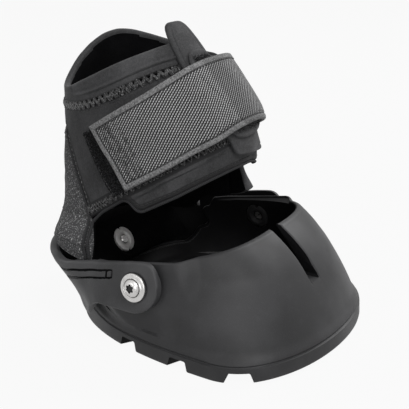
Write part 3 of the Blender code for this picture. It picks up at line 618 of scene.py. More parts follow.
def panel(name, angle, z, lift, thickness, finish, body, slot, relief=None, inner_relief=0.0,
          round_share=0.42, backing=None, backing_from=0.5 * MM):
    """A closed cloth panel over the gaiter, with rounded edges, from a grid of angles and heights.

    The backing covers its inner face, except for a strip along the border.
    """
    plain, out = tube_frame(angle, z)
    places = plain + out * np.asarray(lift)[..., None]
    across = np.linalg.norm(np.diff(places, axis=0), axis=-1)
    along = np.linalg.norm(np.diff(places, axis=1), axis=-1)
    u = np.concatenate([np.zeros((1, across.shape[1])), np.cumsum(across, axis=0)])
    v = np.concatenate([np.zeros((along.shape[0], 1)), np.cumsum(along, axis=1)], axis=1)
    distance = edge_distance(places)
    drop = rounding(distance, thickness * round_share)
    raised = relief(places, u, v, distance, angle) if relief else 0.0 * u
    fade = smooth(0.0, thickness * 0.6, distance)
    outer = places + out * (raised * fade - drop)[..., None]
    inner = places + out * (raised * fade * inner_relief + drop - thickness)[..., None]
    verts = np.concatenate([outer.reshape(-1, 3), inner.reshape(-1, 3)])
    weave = np.tile(np.stack([u, v, distance], axis=-1).reshape(-1, 3), (2, 1))
    piece = add_piece(name, verts, double_faces(*u.shape), finish, body, weave)
    if backing:
        piece.data.materials.append(backing)
        backed = (distance[1:, 1:] + distance[:-1, :-1]) / 2.0 > backing_from
        numbers = np.zeros(len(piece.data.polygons), np.int32)
        numbers[backed.size:2 * backed.size] = backed.ravel()
        piece.data.polygons.foreach_set("material_index", numbers)
    return piece


def fill(low_edge, high_edge, start, end, us, vs, gap=0.0):
    """Angles and heights between two edge lines and two end lines, at the given shares."""
    us, vs = us[:, None], vs[None, :]
    angle = mix(start(50.0 * MM), end(50.0 * MM), us) + 0.0 * vs
    for _ in range(14):
        z = mix(low_edge(angle) + gap, high_edge(angle) - gap, vs)
        angle = mix(angle, mix(start(z), end(z), us), 0.65)
    return angle, z


def tube_faces(count, rings, sides, flip=False):
    """The faces of like tubes with closed ends, each a row of rings of points."""
    faces = []
    for base in range(0, count * rings * sides, rings * sides):
        for a in range(base, base + (rings - 1) * sides, sides):
            for i in range(sides):
                j = (i + 1) % sides
                first, second = (j, i) if flip else (i, j)
                faces.append((a + first, a + second, a + sides + second, a + sides + first))
        low = tuple(range(base, base + sides))
        high = tuple(range(base + (rings - 1) * sides, base + rings * sides))
        faces += [low, high[::-1]] if flip else [low[::-1], high]
    return faces


def circles(side, up, sides):
    """Points of a unit circle across a line, at each of its places."""
    turns = 2.0 * pi * np.arange(sides) / sides
    return side[:, None] * np.cos(turns)[None, :, None] + up[:, None] * np.sin(turns)[None, :, None]


def stitches(name, starts, ends, outs, radius, arch, finish, body):
    """Short arched threads that dip into the cloth at both ends."""
    starts, ends, outs = (np.asarray(a, float) for a in (starts, ends, outs))
    shares = np.array((0.0, 0.12, 0.35, 0.65, 0.88, 1.0))
    widths = radius * np.array((0.35, 0.8, 1.0, 1.0, 0.8, 0.35))
    run = ends - starts
    lifts = arch * np.sin(pi * shares) - radius * 0.6
    middle = starts[:, None] + run[:, None] * shares[None, :, None] + outs[:, None] * lifts[None, :, None]
    ring = circles(unit(np.cross(unit(run), outs)), outs, 6)
    verts = middle[:, :, None] + ring[:, None] * widths[None, :, None, None]
    faces = tube_faces(len(starts), len(shares), 6, flip=True)
    return add_piece(name, verts.reshape(-1, 3), faces, finish, body)


def evenly(places, outs, step):
    """Walks a line of points and returns places and outward directions at an even step."""
    lengths = np.concatenate([[0.0], np.cumsum(np.linalg.norm(np.diff(places, axis=0), axis=1))])
    count = max(2, round(lengths[-1] / step))
    reach = np.linspace(0.0, lengths[-1], count + 1)
    at = np.stack([np.interp(reach, lengths, places[:, k]) for k in range(3)], axis=1)
    out = unit(np.stack([np.interp(reach, lengths, outs[:, k]) for k in range(3)], axis=1))
    return at, out


def running_row(places, outs, pitch):
    """Start, end and outward direction of each stitch in one row."""
    at, out = evenly(places, outs, pitch)
    return at[:-1], mix(at[:-1], at[1:], stitch_share), out[:-1]


def zigzag_rows(places, outs, pitch, half_height, lag=0.0):
    """Stitches that cross a seam line from side to side."""
    at, out = evenly(places, outs, pitch)
    along = unit(np.gradient(at, axis=0))
    up = unit(np.cross(out, along))
    swing = np.where((np.arange(len(at)) % 2 == 0), 1.0, -1.0)[:, None]
    points = at + up * swing * half_height + along * lag
    return points[:-1], points[1:], out[:-1]


def joined_rows(rows):
    return [np.concatenate([row[k] for row in rows]) for k in range(3)]


def tube_piece(name, places, radius, finish, body, sides=12):
    """A cord of bound cloth along a line, with round ends."""
    run = unit(np.gradient(places, axis=0))
    side = unit(np.cross(run, np.array((0.3, 0.2, 1.0))))
    ring = circles(side, np.cross(side, run), sides)
    reach = np.concatenate([[0.0], np.cumsum(np.linalg.norm(np.diff(places, axis=0), axis=1))])
    near = np.minimum(reach, reach[-1] - reach)
    width = radius * np.sqrt(1.0 - np.clip(1.0 - near / radius, 0.0, 0.98) ** 2)
    verts = places[:, None] + ring * width[:, None, None]
    along, round_it = np.meshgrid(reach, radius * 2.0 * pi * np.arange(sides) / sides, indexing="ij")
    weave = np.stack([along, round_it, 0.0 * along], axis=-1).reshape(-1, 3)
    faces = tube_faces(1, len(places), sides)
    return add_piece(name, verts.reshape(-1, 3), faces, finish, body, weave)


# Finishes

class Socket:
    """A shader socket that takes part in arithmetic by adding Math nodes."""

    def __init__(self, finish, socket):
        self.finish = finish
        self.socket = socket

    def math(self, operation, first, second=0.0):
        return self.finish.node("ShaderNodeMath", {"operation": operation}, {0: first, 1: second})

    def __add__(self, other):
        return self.math("ADD", self, other)

    def __radd__(self, other):
        return self.math("ADD", other, self)

    def __sub__(self, other):
        return self.math("SUBTRACT", self, other)

    def __rsub__(self, other):
        return self.math("SUBTRACT", other, self)

    def __mul__(self, other):
        return self.math("MULTIPLY", self, other)

    def __rmul__(self, other):
        return self.math("MULTIPLY", other, self)

    def __truediv__(self, other):
        return self.math("DIVIDE", self, other)

    def wave(self, length, shift=None):
        """Waves between 0 and 1 of a given length."""
        turn = self * (2.0 * pi / length)
        return self.math("SINE", turn + shift if shift else turn) * 0.5 + 0.5

    def floor(self):
        return self.math("FLOOR", self)

    def larger(self, other):
        return self.math("MAXIMUM", self, other)

    def step(self, low, high):
        """Rises smoothly from 0 to 1 between two values."""
        return self.finish.node("ShaderNodeMapRange", {"interpolation_type": "SMOOTHSTEP"},
                                {0: self, 1: low, 2: high, 3: 0.0, 4: 1.0})

    def between(self, start, full, fade, end):
        """Rises from 0 to 1 between the first two values and falls back between the last two."""
        return self.step(start, full) * (1.0 - self.step(fade, end))


class Nodes:
    """Adds nodes to one shader tree."""

    def __init__(self, tree):
        self.tree = tree

    def node(self, kind, settings=None, inputs=None, output=0):
        made = self.tree.nodes.new(kind)
        for key, value in (settings or {}).items():
            setattr(made, key, value)
        for key, value in (inputs or {}).items():
            self.feed(made.inputs[key], value)
        return Socket(self, made.outputs[output])

    def feed(self, target, value):
        if isinstance(value, Socket):
            self.tree.links.new(value.socket, target)
        else:
            target.default_value = value


class Finish(Nodes):
    """A procedural material built on one Principled shader."""

    def __init__(self, name):
        self.material = bpy.data.materials.new(name)
        self.material.use_nodes = True
        super().__init__(self.material.node_tree)
        self.shader = self.tree.nodes["Principled BSDF"]

    def place(self):
        return self.node("ShaderNodeTexCoord", output="Object")

    def noise(self, scale, detail=2.0, vector=None, rough=0.5):
        """Noise between 0 and 1. The scale is in features to the metre."""
        inputs = {"Vector": vector or self.place(), "Scale": scale, "Detail": detail, "Roughness": rough}
        return self.node("ShaderNodeTexNoise", {"noise_dimensions": "3D"}, inputs)

    def weave(self):
        """Distance along the cloth, across it, and to its nearest edge, in metres."""
        found = self.node("ShaderNodeAttribute", {"attribute_name": "weave"}, output="Vector")
        parts = self.node("ShaderNodeSeparateXYZ", inputs={0: found})
        return [Socket(self, output) for output in parts.socket.node.outputs]

    def blend(self, share, low, high):
        """A colour between two, by a share."""
        return self.node("ShaderNodeMix", {"data_type": "RGBA"}, {0: share, 6: low, 7: high}, output=2)

    def bump(self, height, distance, strength=1.0):
        inputs = {"Height": height, "Distance": distance, "Strength": strength}
        return self.node("ShaderNodeBump", inputs=inputs)

    def surface(self, colour, roughness, normal=None, metallic=None, **constants):
        self.feed(self.shader.inputs["Base Color"], colour)
        self.feed(self.shader.inputs["Roughness"], roughness)
        if normal:
            self.feed(self.shader.inputs["Normal"], normal)
        if metallic is not None:
            self.feed(self.shader.inputs["Metallic"], metallic)
        for name, value in constants.items():
            self.shader.inputs[name.replace("_", " ")].default_value = value
        return self.material


def tone(colour, share):
    """A colour made lighter or darker by a share."""
    return tuple(min(1.0, c * share) for c in colour[:3]) + (1.0,)


def rubber_finish(name, colour, gloss=0.3):
    made = Finish(name)
    # Haze: lighter patches at random, partly dust and partly painted soft highlights.
    haze = made.noise(26.0, 3.0).step(0.38, 0.66)
    dust = made.noise(1500.0, 2.0)
    grain = made.noise(2600.0, 2.0, rough=0.7)
    scuff = made.noise(160.0, 4.0, rough=0.65).step(0.52, 0.78)
    shade = haze * 0.6 + dust.step(0.45, 0.75) * 0.2 + scuff * 0.2
    colour_now = made.blend(shade, tone(colour, 0.74), tone(colour, 1.75))
    normal = made.bump(grain * 0.7 + scuff * 0.3, 0.12 * MM, 0.5)
    return made.surface(colour_now, 0.5 - haze * 0.08 + dust * 0.12, normal, Specular_IOR_Level=gloss)


def steel_finish(name, colour, roughness, metallic=1.0):
    """Turned steel: fine rings round the axis and a little haze."""
    made = Finish(name)
    radius, turn, _ = made.weave()
    rings = radius.wave(0.32 * MM)
    haze = made.noise(420.0, 3.0).step(0.35, 0.7)
    stretched = made.node("ShaderNodeCombineXYZ", inputs={0: radius * 6000.0, 1: turn * 260.0})
    streak = made.noise(1.0, 2.0, stretched)
    shade = rings * 0.35 + haze * 0.35 + streak * 0.3
    colour_now = made.blend(shade, tone(colour, 0.72), tone(colour, 1.12))
    normal = made.bump(rings * 0.6 + streak * 0.4, 0.03 * MM, 0.6)
    return made.surface(colour_now, roughness + haze * 0.12, normal, metallic=metallic)


def neoprene_finish(name, colour, painted_shade_width=0.0):
    """Smooth closed-skin neoprene: a fine knit face with soft creases, with painted shade along its stitched
    edges.
    """
    made = Finish(name)
    patch = made.noise(60.0, 3.0).step(0.35, 0.7)
    skin = made.noise(900.0, 3.0, rough=0.7)
    grain = made.noise(3200.0, 2.0, rough=0.75)
    shade = patch * 0.4 + skin.step(0.4, 0.7) * 0.25 + grain.step(0.4, 0.7) * 0.35
    # Painted shade: darker within this width of the panel's edges, where seams and the strap shade it.
    if painted_shade_width:
        shade = shade - (1.0 - made.weave()[2].step(painted_shade_width * 0.7, painted_shade_width)) * 0.9
    colour_now = made.blend(shade, tone(colour, 0.55), tone(colour, 1.9))
    normal = made.bump(skin * 0.6 + grain * 0.4, 0.2 * MM, 0.9)
    return made.surface(colour_now, 0.66 + grain * 0.16, normal, Specular_IOR_Level=0.16,
                        Sheen_Weight=0.05, Sheen_Roughness=0.4)


def stretch_finish(name, colour, fleck):
    """Stretch cloth: fine vertical knit ribs with pale flecks."""
    made = Finish(name)
    u, v, _ = made.weave()
    rib = u.wave(1.1 * MM, made.noise(300.0, 2.0) * 2.5)
    course = v.wave(0.8 * MM, made.noise(500.0, 2.0) * 3.0)
    flecks = made.noise(1100.0, 3.0, rough=0.75).step(0.53, 0.68)
    ground = made.blend(rib * 0.5 + course * 0.3, tone(colour, 0.45), tone(colour, 1.3))
    colour_now = made.blend(flecks, ground, tone(fleck, 1.0))
    normal = made.bump(rib * 0.5 + course * 0.25 + flecks * 0.5, 0.22 * MM, 0.8)
    return made.surface(colour_now, 0.85 - flecks * 0.1, normal, Specular_IOR_Level=0.15,
                        Sheen_Weight=0.04, Sheen_Roughness=0.5)


def lining_finish(name, colour):
    made = Finish(name)
    nap = made.noise(1900.0, 3.0, rough=0.75)
    patch = made.noise(90.0, 2.0).step(0.35, 0.7)
    colour_now = made.blend(nap.step(0.35, 0.7) * 0.6 + patch * 0.4, tone(colour, 0.6), tone(colour, 1.6))
    return made.surface(colour_now, 0.9, made.bump(nap, 0.2 * MM, 0.8), Specular_IOR_Level=0.04)


def pile_finish(name, colour):
    made = Finish(name)
    fuzz = made.noise(1300.0, 4.0, rough=0.8)
    # Pale speckles: partly the fibres' own tone, partly painted glints on the pile.
    colour_now = made.blend(fuzz.step(0.46, 0.7), tone(colour, 0.25), tone(colour, 6.5))
    return made.surface(colour_now, 0.92, made.bump(fuzz, 0.5 * MM, 1.0), Specular_IOR_Level=0.08,
                        Sheen_Weight=0.04, Sheen_Roughness=0.6)


def webbing_finish(name, colour, gap_colour):
    """Twill webbing: slanting ribs of short floats, with a bound border, dark sewn lines and painted shade
    past the crease.
    """
    made = Finish(name)
    u, v, edge = made.weave()
    across, along = cos(twill_lean), sin(twill_lean)
    wander = (made.noise(500.0, 2.0) - 0.5) * (0.25 * twill_pitch)
    rib_place = (v * across - u * along + wander) / twill_pitch
    rib = rib_place.wave(1.0)
    dash_place = (u * across + v * along) / (1.15 * twill_pitch) + rib_place.floor() * 0.41
    dash = dash_place.wave(1.0)
    float_high = rib.step(0.3, 0.78) * (0.3 + dash.step(0.15, 0.65) * 0.7)
    hair = made.noise(2400.0, 2.0, rough=0.7)
    mottle = made.noise(1150.0, 3.0, rough=0.75).step(0.32, 0.68)
    border = strap_border
    on_border = 1.0 - edge.step(border - 0.25 * MM, border + 0.1 * MM)
    seam = edge.between(border - 0.4 * MM, border - 0.1 * MM, border + 0.3 * MM, border + 0.7 * MM)
    sewn = 0.0
    for place in end_row_places:
        sewn = u.between(place - 1.3 * MM, place - 0.9 * MM, place + 0.9 * MM, place + 1.3 * MM) + sewn
    sewn = sewn * (1.0 - on_border) * mottle
    crease = crease_place
    # Painted shade: the webbing is darker just past the crease, where it turns from the light.
    painted_shade_past_crease = u.between(crease - 2.0 * MM, crease + 1.0 * MM, crease + 9.0 * MM, crease + 24.0 * MM)
    high = float_high * (1.0 - on_border) + (0.14 + mottle * 0.46) * on_border
    shade = high * (0.66 + hair * 0.68) * (1.0 - seam * 0.8) * (1.0 - sewn * 0.75) * (1.0 - painted_shade_past_crease * 0.35)
    colour_now = made.blend(shade, tone(gap_colour, 1.0), tone(colour, 1.0))
    normal = made.bump(high * (1.0 - seam) + hair * 0.15, 0.32 * MM, 0.9)
    return made.surface(colour_now, 0.78 - float_high * 0.2, normal, Specular_IOR_Level=0.2,
                        Sheen_Weight=0.04, Sheen_Roughness=0.4)


def binding_finish(name, colour):
    """Bound tape: close ribs across the edge."""
    made = Finish(name)
    u, _, _ = made.weave()
    rib = u.wave(0.9 * MM)
    hair = made.noise(1800.0, 2.0, rough=0.7)
    colour_now = made.blend(rib * 0.5 + hair * 0.5, tone(colour, 0.5), tone(colour, 1.5))
    return made.surface(colour_now, 0.78, made.bump(rib * 0.7 + hair * 0.3, 0.2 * MM, 0.8),
                        Specular_IOR_Level=0.15)


def painted_glint_finish(name, colour, glint):
    """Heavy waxed thread: dark, with small pale glints painted on as highlights."""
    made = Finish(name)
    # Painted highlights: small pale glints in the thread's colour.
    painted_glints = made.noise(1300.0, 3.0, rough=0.75).step(0.52, 0.66)
    colour_now = made.blend(painted_glints, colour, glint)
    normal = made.bump(painted_glints, 0.15 * MM, 0.7)
    return made.surface(colour_now, 0.42 - painted_glints * 0.1, normal, Specular_IOR_Level=0.6)


def thread_finish(name, colour):
    made = Finish(name)
    ply = made.noise(2600.0, 2.0, rough=0.7)
    colour_now = made.blend(ply, tone(colour, 0.6), tone(colour, 1.4))
    return made.surface(colour_now, 0.5, made.bump(ply, 0.12 * MM, 0.6), Specular_IOR_Level=0.5)


made_finishes = {}


def finishes():
    """All finishes, made once and shared by the pieces."""
    if not made_finishes:
        c = bpy.context.scene.hoof_boot_colours
        made_finishes.update({
            "shell": rubber_finish("Moulded shell rubber", c.shell),
            # Painted shade: dark rubber inside the shell and in its notches.
            "painted_shade_inside": rubber_finish("Painted shade inside the shell", c.painted_shade_inside, 0.05),
            "cup": rubber_finish("Moulded cup rubber", c.cup),
            # Painted shade in the cup's grooves and on its inner faces.
            "groove": rubber_finish("Painted shade in the cup's grooves", c.painted_shade_inside, 0.05),
            "steel": steel_finish("Turned steel", c.steel, 0.27),
            # Painted light: a lightened copy of the steel, so the heel nut inside the gaiter looks lit.
            "lit_brushed_steel": steel_finish("Brushed steel", tone(c.steel, 1.4), 0.45, 0.3),
            # Painted shade: dark steel for the side nuts inside the shell and the screws' sockets.
            "dark_steel": steel_finish("Steel darkened as painted shade", c.dark_steel, 0.5, 0.3),
            "neoprene": neoprene_finish("Smooth neoprene", c.neoprene),
            # Painted shade: a darker copy of the neoprene for the wrap and band under the strap, darker still
            # at their seams.
            "painted_shade_neoprene": neoprene_finish("Neoprene with painted shade between seams", tone(c.neoprene, 0.8), 3.4 * MM),
            "stretch": stretch_finish("Flecked stretch cloth", c.stretch, c.fleck),
            # A dark lining, drawn near black as painted shade inside the gaiter.
            "lining": lining_finish("Soft lining", c.lining),
            "pile": pile_finish("Loop pile", c.pile),
            "webbing": webbing_finish("Twill webbing", c.webbing, c.webbing_gap),
            "binding": binding_finish("Bound tape", c.binding),
            "thread": thread_finish("Dark thread", c.thread),
            # Painted highlights: dark thread with pale glints painted on.
            "zigzag_thread": painted_glint_finish("Heavy thread with painted glints", c.thread, c.painted_thread_glint),
        })
    return made_finishes


# Moulded shell

def shell_angles(count):
    """Angles round the shell at an even spacing, closer together beside the toe slot."""
    fine = np.linspace(0.0, 2.0 * pi, 9001)
    density = np.zeros(len(fine) - 1)
    for z in (2.0 * MM, 22.0 * MM, 44.0 * MM):
        x, y = wall_point(fine, np.full_like(fine, z), 0.0)
        density = np.maximum(density, np.hypot(np.diff(x), np.diff(y)))
        if z > slot_foot_z:
            middle = np.abs(mix(x[1:], x[:-1], 0.5))
            beside = (fine[1:] > pi / 2.0) & (fine[1:] < 1.5 * pi)
            crowd = 3.0 * dome(middle, slot_width / 2.0 + slot_round, 2.5 * MM)
            density = density * np.where(beside, 1.0 + crowd, 1.0)
    reach = np.concatenate([[0.0], np.cumsum(density)])
    return np.interp(np.linspace(0.0, reach[-1], count, endpoint=False), reach, fine)


def slot_inset(x, y, z):
    """The shell's faces drop at the rounded edges of the toe slot."""
    side = np.abs(x) - slot_width / 2.0
    below = slot_foot_z - z
    distance = np.where(below > 0.0, np.hypot(np.maximum(side, 0.0), below), np.abs(side))
    return np.where(y < 0.0, rounding(distance, slot_round), 0.0)


def shell_rows(angles):
    """Rings of the shell, from under the sole, up the outer wall, over the rim and down to the footbed."""
    rows = []
    foot_y = sole_point(angles, 0.0)[1]
    ground = ground_z(foot_y)
    band = band_z(foot_y)
    top = rim_z_at(angles)

    def sole(inset, lift):
        spread = mix(*sole_spread, smooth(*sole_spread_ys, sole_point(angles, inset)[1]))
        x, y = sole_point(angles, inset - spread)
        rows.append((x, y, ground_z(y) + lift))

    def wall(z, inset, flatten=True):
        x, y = wall_point(angles, z, inset)
        if flatten:
            x = mix(x, np.where(x > 0.0, seat_x - inset, inset - seat_x), seat_share(y, z))
        extra = slot_inset(x, y, z)
        moved_x, moved_y = wall_point(angles, z, inset + extra)
        rows.append((np.where(extra > 0.0, moved_x, x), np.where(extra > 0.0, moved_y, y), z + 0.0 * x))

    for inset in (flat_inset, flat_inset * 0.5, sole_lip):
        sole(inset, 0.0)
    for inset, lift in ((0.45, 0.12), (0.12, 0.45), (0.0, 1.0)):
        sole(sole_lip * inset, sole_lip * lift)
    for share in (0.2, 0.4, 0.6, 0.8, 0.93):
        sole(sole_lip * 0.25 * share, mix(sole_lip, band - 0.9 * MM, share))
    low = ground + band
    sole(sole_lip * 0.35, band - 0.6 * MM)
    for rise, inset, share in ((-0.35, 0.5, 0.0), (-0.05, 0.7, 0.02), (0.25, 0.5, 0.07), (0.7, 0.15, 0.17),
                               (1.4, 0.0, 0.36), (2.4, 0.0, 0.6), (3.6, 0.0, 0.84), (5.0, 0.0, 1.0)):
        z = low + rise * MM
        on_sole, on_wall = sole_point(angles, inset * MM), wall_point(angles, z, inset * MM)
        rows.append((mix(on_sole[0], on_wall[0], share), mix(on_sole[1], on_wall[1], share), z))
    for share in np.linspace(0.03, 1.0, 46):
        z = mix(low + foot_blend, top - rim_round, share)
        wall(z, rim_taper * np.clip(1.0 - (top - rim_round - z) / rim_taper_reach, 0.0, 1.0) ** 2)
    for turn in np.radians((18.0, 36.0, 54.0, 72.0, 90.0)):
        wall(top - rim_round * (1.0 - np.sin(turn)), rim_taper + rim_round * (1.0 - np.cos(turn)))
    for turn in np.radians((80.0, 60.0, 40.0, 20.0, 0.0)):
        wall(top - rim_round * (1.0 - np.sin(turn)), shell_wall - rim_round * (1.0 - np.cos(turn)))
    for share in np.linspace(0.96, 0.12, 26):
        wall(mix(low, top, share), shell_wall, flatten=False)
    fillet_top = np.full_like(angles, floor_z + floor_fillet)
    for turn in np.radians((0.0, 25.0, 50.0, 75.0, 90.0)):
        x, y = wall_point(angles, fillet_top, shell_wall + floor_fillet * (1.0 - np.cos(turn)))
        rows.append((x, y, floor_z + floor_fillet * (1.0 - np.sin(turn)) + 0.0 * x))
    edge_x, edge_y, _ = rows[-1]
    middle_y = edge_y.mean()
    for share in np.linspace(0.02, 0.94, 58):
        x, y = edge_x * (1.0 - share), mix(edge_y, middle_y, share)
        step = floor_step * smooth(0.09, 0.13, share)
        ribbed = smooth(0.16, 0.2, share) * (1.0 - smooth(0.5, 0.62, share))
        ridge = floor_ridge * np.sin(2.0 * pi * share / 0.075) * ribbed
        rows.append((x, y, floor_z + step + ridge + 0.0 * x))
    return rows, middle_y


def block(name, *outlines):
    """A closed prism through outlines of as many points each, used to cut with."""
    verts = [tuple(point) for outline in outlines for point in outline]
    count = len(outlines[0])
    faces = [(a + i, a + (i + 1) % count, a + count + (i + 1) % count, a + count + i)
             for a in range(0, len(verts) - count, count) for i in range(count)]
    faces += [range(count), range(len(verts) - count, len(verts))]
    return linked(name, settled(new_mesh(name, verts, faces)))


def notch_block(place_y, side):
    """A wedge that opens a gap between two tread lugs."""
    angles = np.linspace(0.0, pi, 4001)
    xs, ys = sole_point(angles, 0.0)
    k = int(np.argmin(np.abs(ys - place_y)))
    edge = Vector((xs[k + 20] - xs[k - 20], ys[k + 20] - ys[k - 20], 0.0)).normalized()
    if edge.y < 0.0:
        edge.negate()
    inward = Vector((-edge.y, edge.x, 0.0))
    if inward.x < 0.0:
        inward.negate()
    rise = float(ground_z(ys[k]))
    wider = 1.3 if place_y == min(notch_places_y) else 1.0
    half, top_half = wider * notch_width / 2.0, wider * notch_top_width / 2.0
    flared = [(half + along * notch_flare, rise + up * notch_flare)
              for along, up in ((1.0, 0.0), (0.45, 0.15), (0.12, 0.5), (-0.1, 1.1))]
    flank = [(half + notch_flare, -2.0 * MM), *flared, (top_half + 0.4 * MM, rise + notch_height - 0.5 * MM),
             (top_half - 0.2 * MM, rise + notch_height)]
    rows = []
    for reach, splay in ((-4.0 * MM, notch_splay * 1.4), (8.5 * MM, 0.0), (notch_depth, 0.0)):
        outline = [(along + splay, z) for along, z in flank] + [(-along, z) for along, z in reversed(flank)]
        places = [Vector((xs[k], ys[k], z)) + edge * along + inward * reach for along, z in outline]
        rows.append([(p.x * side, p.y, p.z) for p in places])
    return block("notch", *rows)


def slot_block():
    half = slot_width / 2.0
    outline = [(half, rim_toe_z + 20.0 * MM), (-half, rim_toe_z + 20.0 * MM)]
    for side, turns in ((-1.0, np.linspace(0.0, pi / 2.0, 7)), (1.0, np.linspace(pi / 2.0, 0.0, 7))):
        for turn in turns:
            outline.append((side * (half - slot_corner * (1.0 - cos(turn))),
                            slot_foot_z + slot_corner * (1.0 - sin(turn))))
    return block("slot", [(x, sole_toe_y - 5.0 * MM, z) for x, z in outline],
                 [(x, rim_toe_y + 4.0 * shell_wall, z) for x, z in outline])


def cylinder_block(name, place_frame, radius, low, high):
    turns = 2.0 * pi * np.arange(cutter_steps) / cutter_steps
    rows = [[place_frame @ Vector((radius * cos(t), radius * sin(t), z)) for t in turns] for z in (low, high)]
    return block(name, *rows)


def frog_block():
    turns = 2.0 * pi * np.arange(cutter_steps) / cutter_steps
    rows = [[(frog_half_width * cos(t), frog_y + frog_half_length * sin(t), z) for t in turns]
            for z in (-frog_depth, frog_depth)]
    return block("frog", *rows)


def carved(piece, cutters):
    """The piece's mesh with the cutters taken out of it. The cutters are removed."""
    for cutter in cutters:
        modifier = piece.modifiers.new(cutter.name, "BOOLEAN")
        modifier.solver = "EXACT"
        modifier.object = cutter
    graph = bpy.context.evaluated_depsgraph_get()
    mesh = bpy.data.meshes.new_from_object(piece.evaluated_get(graph))
    mesh.name = piece.name
    bpy.data.objects.remove(piece)
    for cutter in cutters:
        bpy.data.objects.remove(cutter)
    return mesh


def joined(blocks):
    """Several separate cutters as one."""
    bm = bmesh.new()
    for made in blocks:
        bm.from_mesh(made.data)
    mesh = bpy.data.meshes.new("cutters")
    bm.to_mesh(mesh)
    bm.free()
    for made in blocks:
        bpy.data.objects.remove(made)
    return linked("cutters", mesh)


def side_holes(name, radius, low, high):
    """One cutter with a round hole about the pivot on each side."""
    return joined([cylinder_block(name, side_frame(side), radius, low, high) for side in (-1.0, 1.0)])


def add_shell():
    angles = shell_angles(shell_steps)
    rows, middle_y = shell_rows(angles)
    grid = np.stack([np.stack(row, axis=-1) for row in rows], axis=1)
    columns, count = grid.shape[:2]
    verts = np.concatenate([grid.reshape(-1, 3), [(0.0, 0.0, 0.0), (0.0, middle_y, floor_z + floor_step)]])
    faces = quads(columns, count, closed=True)
    for i in range(columns):
        j = (i + 1) % columns
        faces.append((columns * count, j * count, i * count))
        faces.append((i * count + count - 1, j * count + count - 1, columns * count + 1))
    raw = linked("raw_shell", new_mesh("raw_shell", verts, faces))
    notches = [notch_block(y, side) for y in notch_places_y for side in (1.0, -1.0)]
    seats = side_holes("seat", nut_radius + fit_gap, -5.0 * shell_wall, -shell_wall + nut_flange * 0.5)
    holes = side_holes("hole", nut_barrel_radius + fit_gap, -3.0 * shell_wall, 2.0 * MM)
    mesh = carved(raw, [joined(notches + [slot_block(), frog_block()]), seats, holes])
    shell = place_mesh("moulded_shell", mesh, finishes()["shell"], "shell", radians(38.0))
    # Painted shade on the shell's inner faces and in its notches.
    paint_shade_inside(shell.data, middle_y)
    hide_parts("hoof_shell")


def paint_shade_inside(mesh, middle_y):
    """Give the shell's inner faces and the notches' walls the dark inner finish as painted shade."""
    mesh.materials.append(finishes()["painted_shade_inside"])
    centres = np.array([polygon.center for polygon in mesh.polygons])
    normals = np.array([polygon.normal for polygon in mesh.polygons])
    from_middle = unit((centres - np.array((0.0, middle_y, 0.0))) * np.array((1.0, 1.0, 0.0)))
    outward = np.sum(normals * from_middle, axis=1)
    low = centres[:, 2] < ground_z(centres[:, 1]) + notch_height + 0.2 * MM
    walls = (outward < -0.02) & ~low
    footbed = (normals[:, 2] > 0.3) & (centres[:, 2] < floor_z + 4.0 * MM) & (outward < 0.2)
    reach = np.hypot(*(centres[:, :2] - np.array((0.0, middle_y))).T)
    notch = low & (np.abs(outward) < 0.62) & (np.abs(normals[:, 2]) < 0.8) & (reach > flat_inset)
    roof = low & (normals[:, 2] < -0.8) & (centres[:, 2] > ground_z(centres[:, 1]) + 1.0 * MM)
    inner = walls | footbed | notch | roof | (low & (outward < -0.25))
    mesh.polygons.foreach_set("material_index", inner.astype(np.int32))


# Fasteners

side_face = (cup_gap + cup_wall) * cos(tab_lean)


def frame_at(place, outward):
    """A frame at a place with its Z axis along the outward direction."""
    return Matrix.Translation(place) @ Vector(outward).to_track_quat("Z", "X").to_matrix().to_4x4()


def side_frame(side):
    return frame_at((side * seat_x, pivot_y, pivot_z), (side * cos(tab_lean), 0.0, sin(tab_lean)))


heel_frame = frame_at((0.0, cup_back_y(heel_screw_z), heel_screw_z),
                      (0.0, cos(heel_screw_lean), -sin(heel_screw_lean)))
heel_tilt = cos(atan2(cup_slope, 1.0) - heel_screw_lean)
heel_seat = -washer_radius * tan(atan2(cup_slope, 1.0) - heel_screw_lean)
heel_nut_face = -(cup_wall + fit_gap + pad_thickness) / heel_tilt - nut_flange * 0.4


def turned(name, profile, place_frame, finish, body, node, lobed=(), notches=False):
    """A turned piece from a profile of (radius, height) points that closes on itself or on the axis.

    Its points with the lobed numbers follow the lobes of the screw's socket.
    """
    turns = 2.0 * pi * np.arange(turned_steps) / turned_steps
    rings = []
    for number, (radius, height) in enumerate(profile):
        ring = np.full(turned_steps, float(radius))
        if number in lobed:
            ring = ring * (1.0 + socket_lobe_share * np.cos(socket_lobes * turns))
        if notches and radius > nut_radius - nut_notch_depth:
            inside = np.abs(ring * np.sin(turns)) < nut_notch_width / 2.0
            ring = np.where(inside, nut_radius - nut_notch_depth, ring)
        rings.append(np.stack([ring * np.cos(turns), ring * np.sin(turns), height + 0.0 * turns,
                               ring, turns, height + 0.0 * turns], axis=-1))
    grid = np.stack(rings, axis=1)
    if profile[0][0] > 0.0:
        grid = np.concatenate([grid, grid[:, :1]], axis=1)
    count = grid.shape[1]
    verts = grid[..., :3].reshape(-1, 3)
    faces = quads(turned_steps, count, closed=True, flip=True)
    matrix = np.array(place_frame)
    verts = verts @ matrix[:3, :3].T + matrix[:3, 3]
    piece = add_piece(name, verts, faces, finish, None, grid[..., 3:].reshape(-1, 3), radians(28.0))
    settled(piece.data, 0.002 * MM, outward=False)
    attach(piece, body)
    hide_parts(node)
    return piece


def rounded_corner(radius, height, size):
    """Points of a rounded top edge of a turned profile."""
    return [(radius - size * (1.0 - sin(t)), height - size * (1.0 - cos(t)))
            for t in np.radians((0.0, 22.0, 45.0, 68.0, 90.0))]


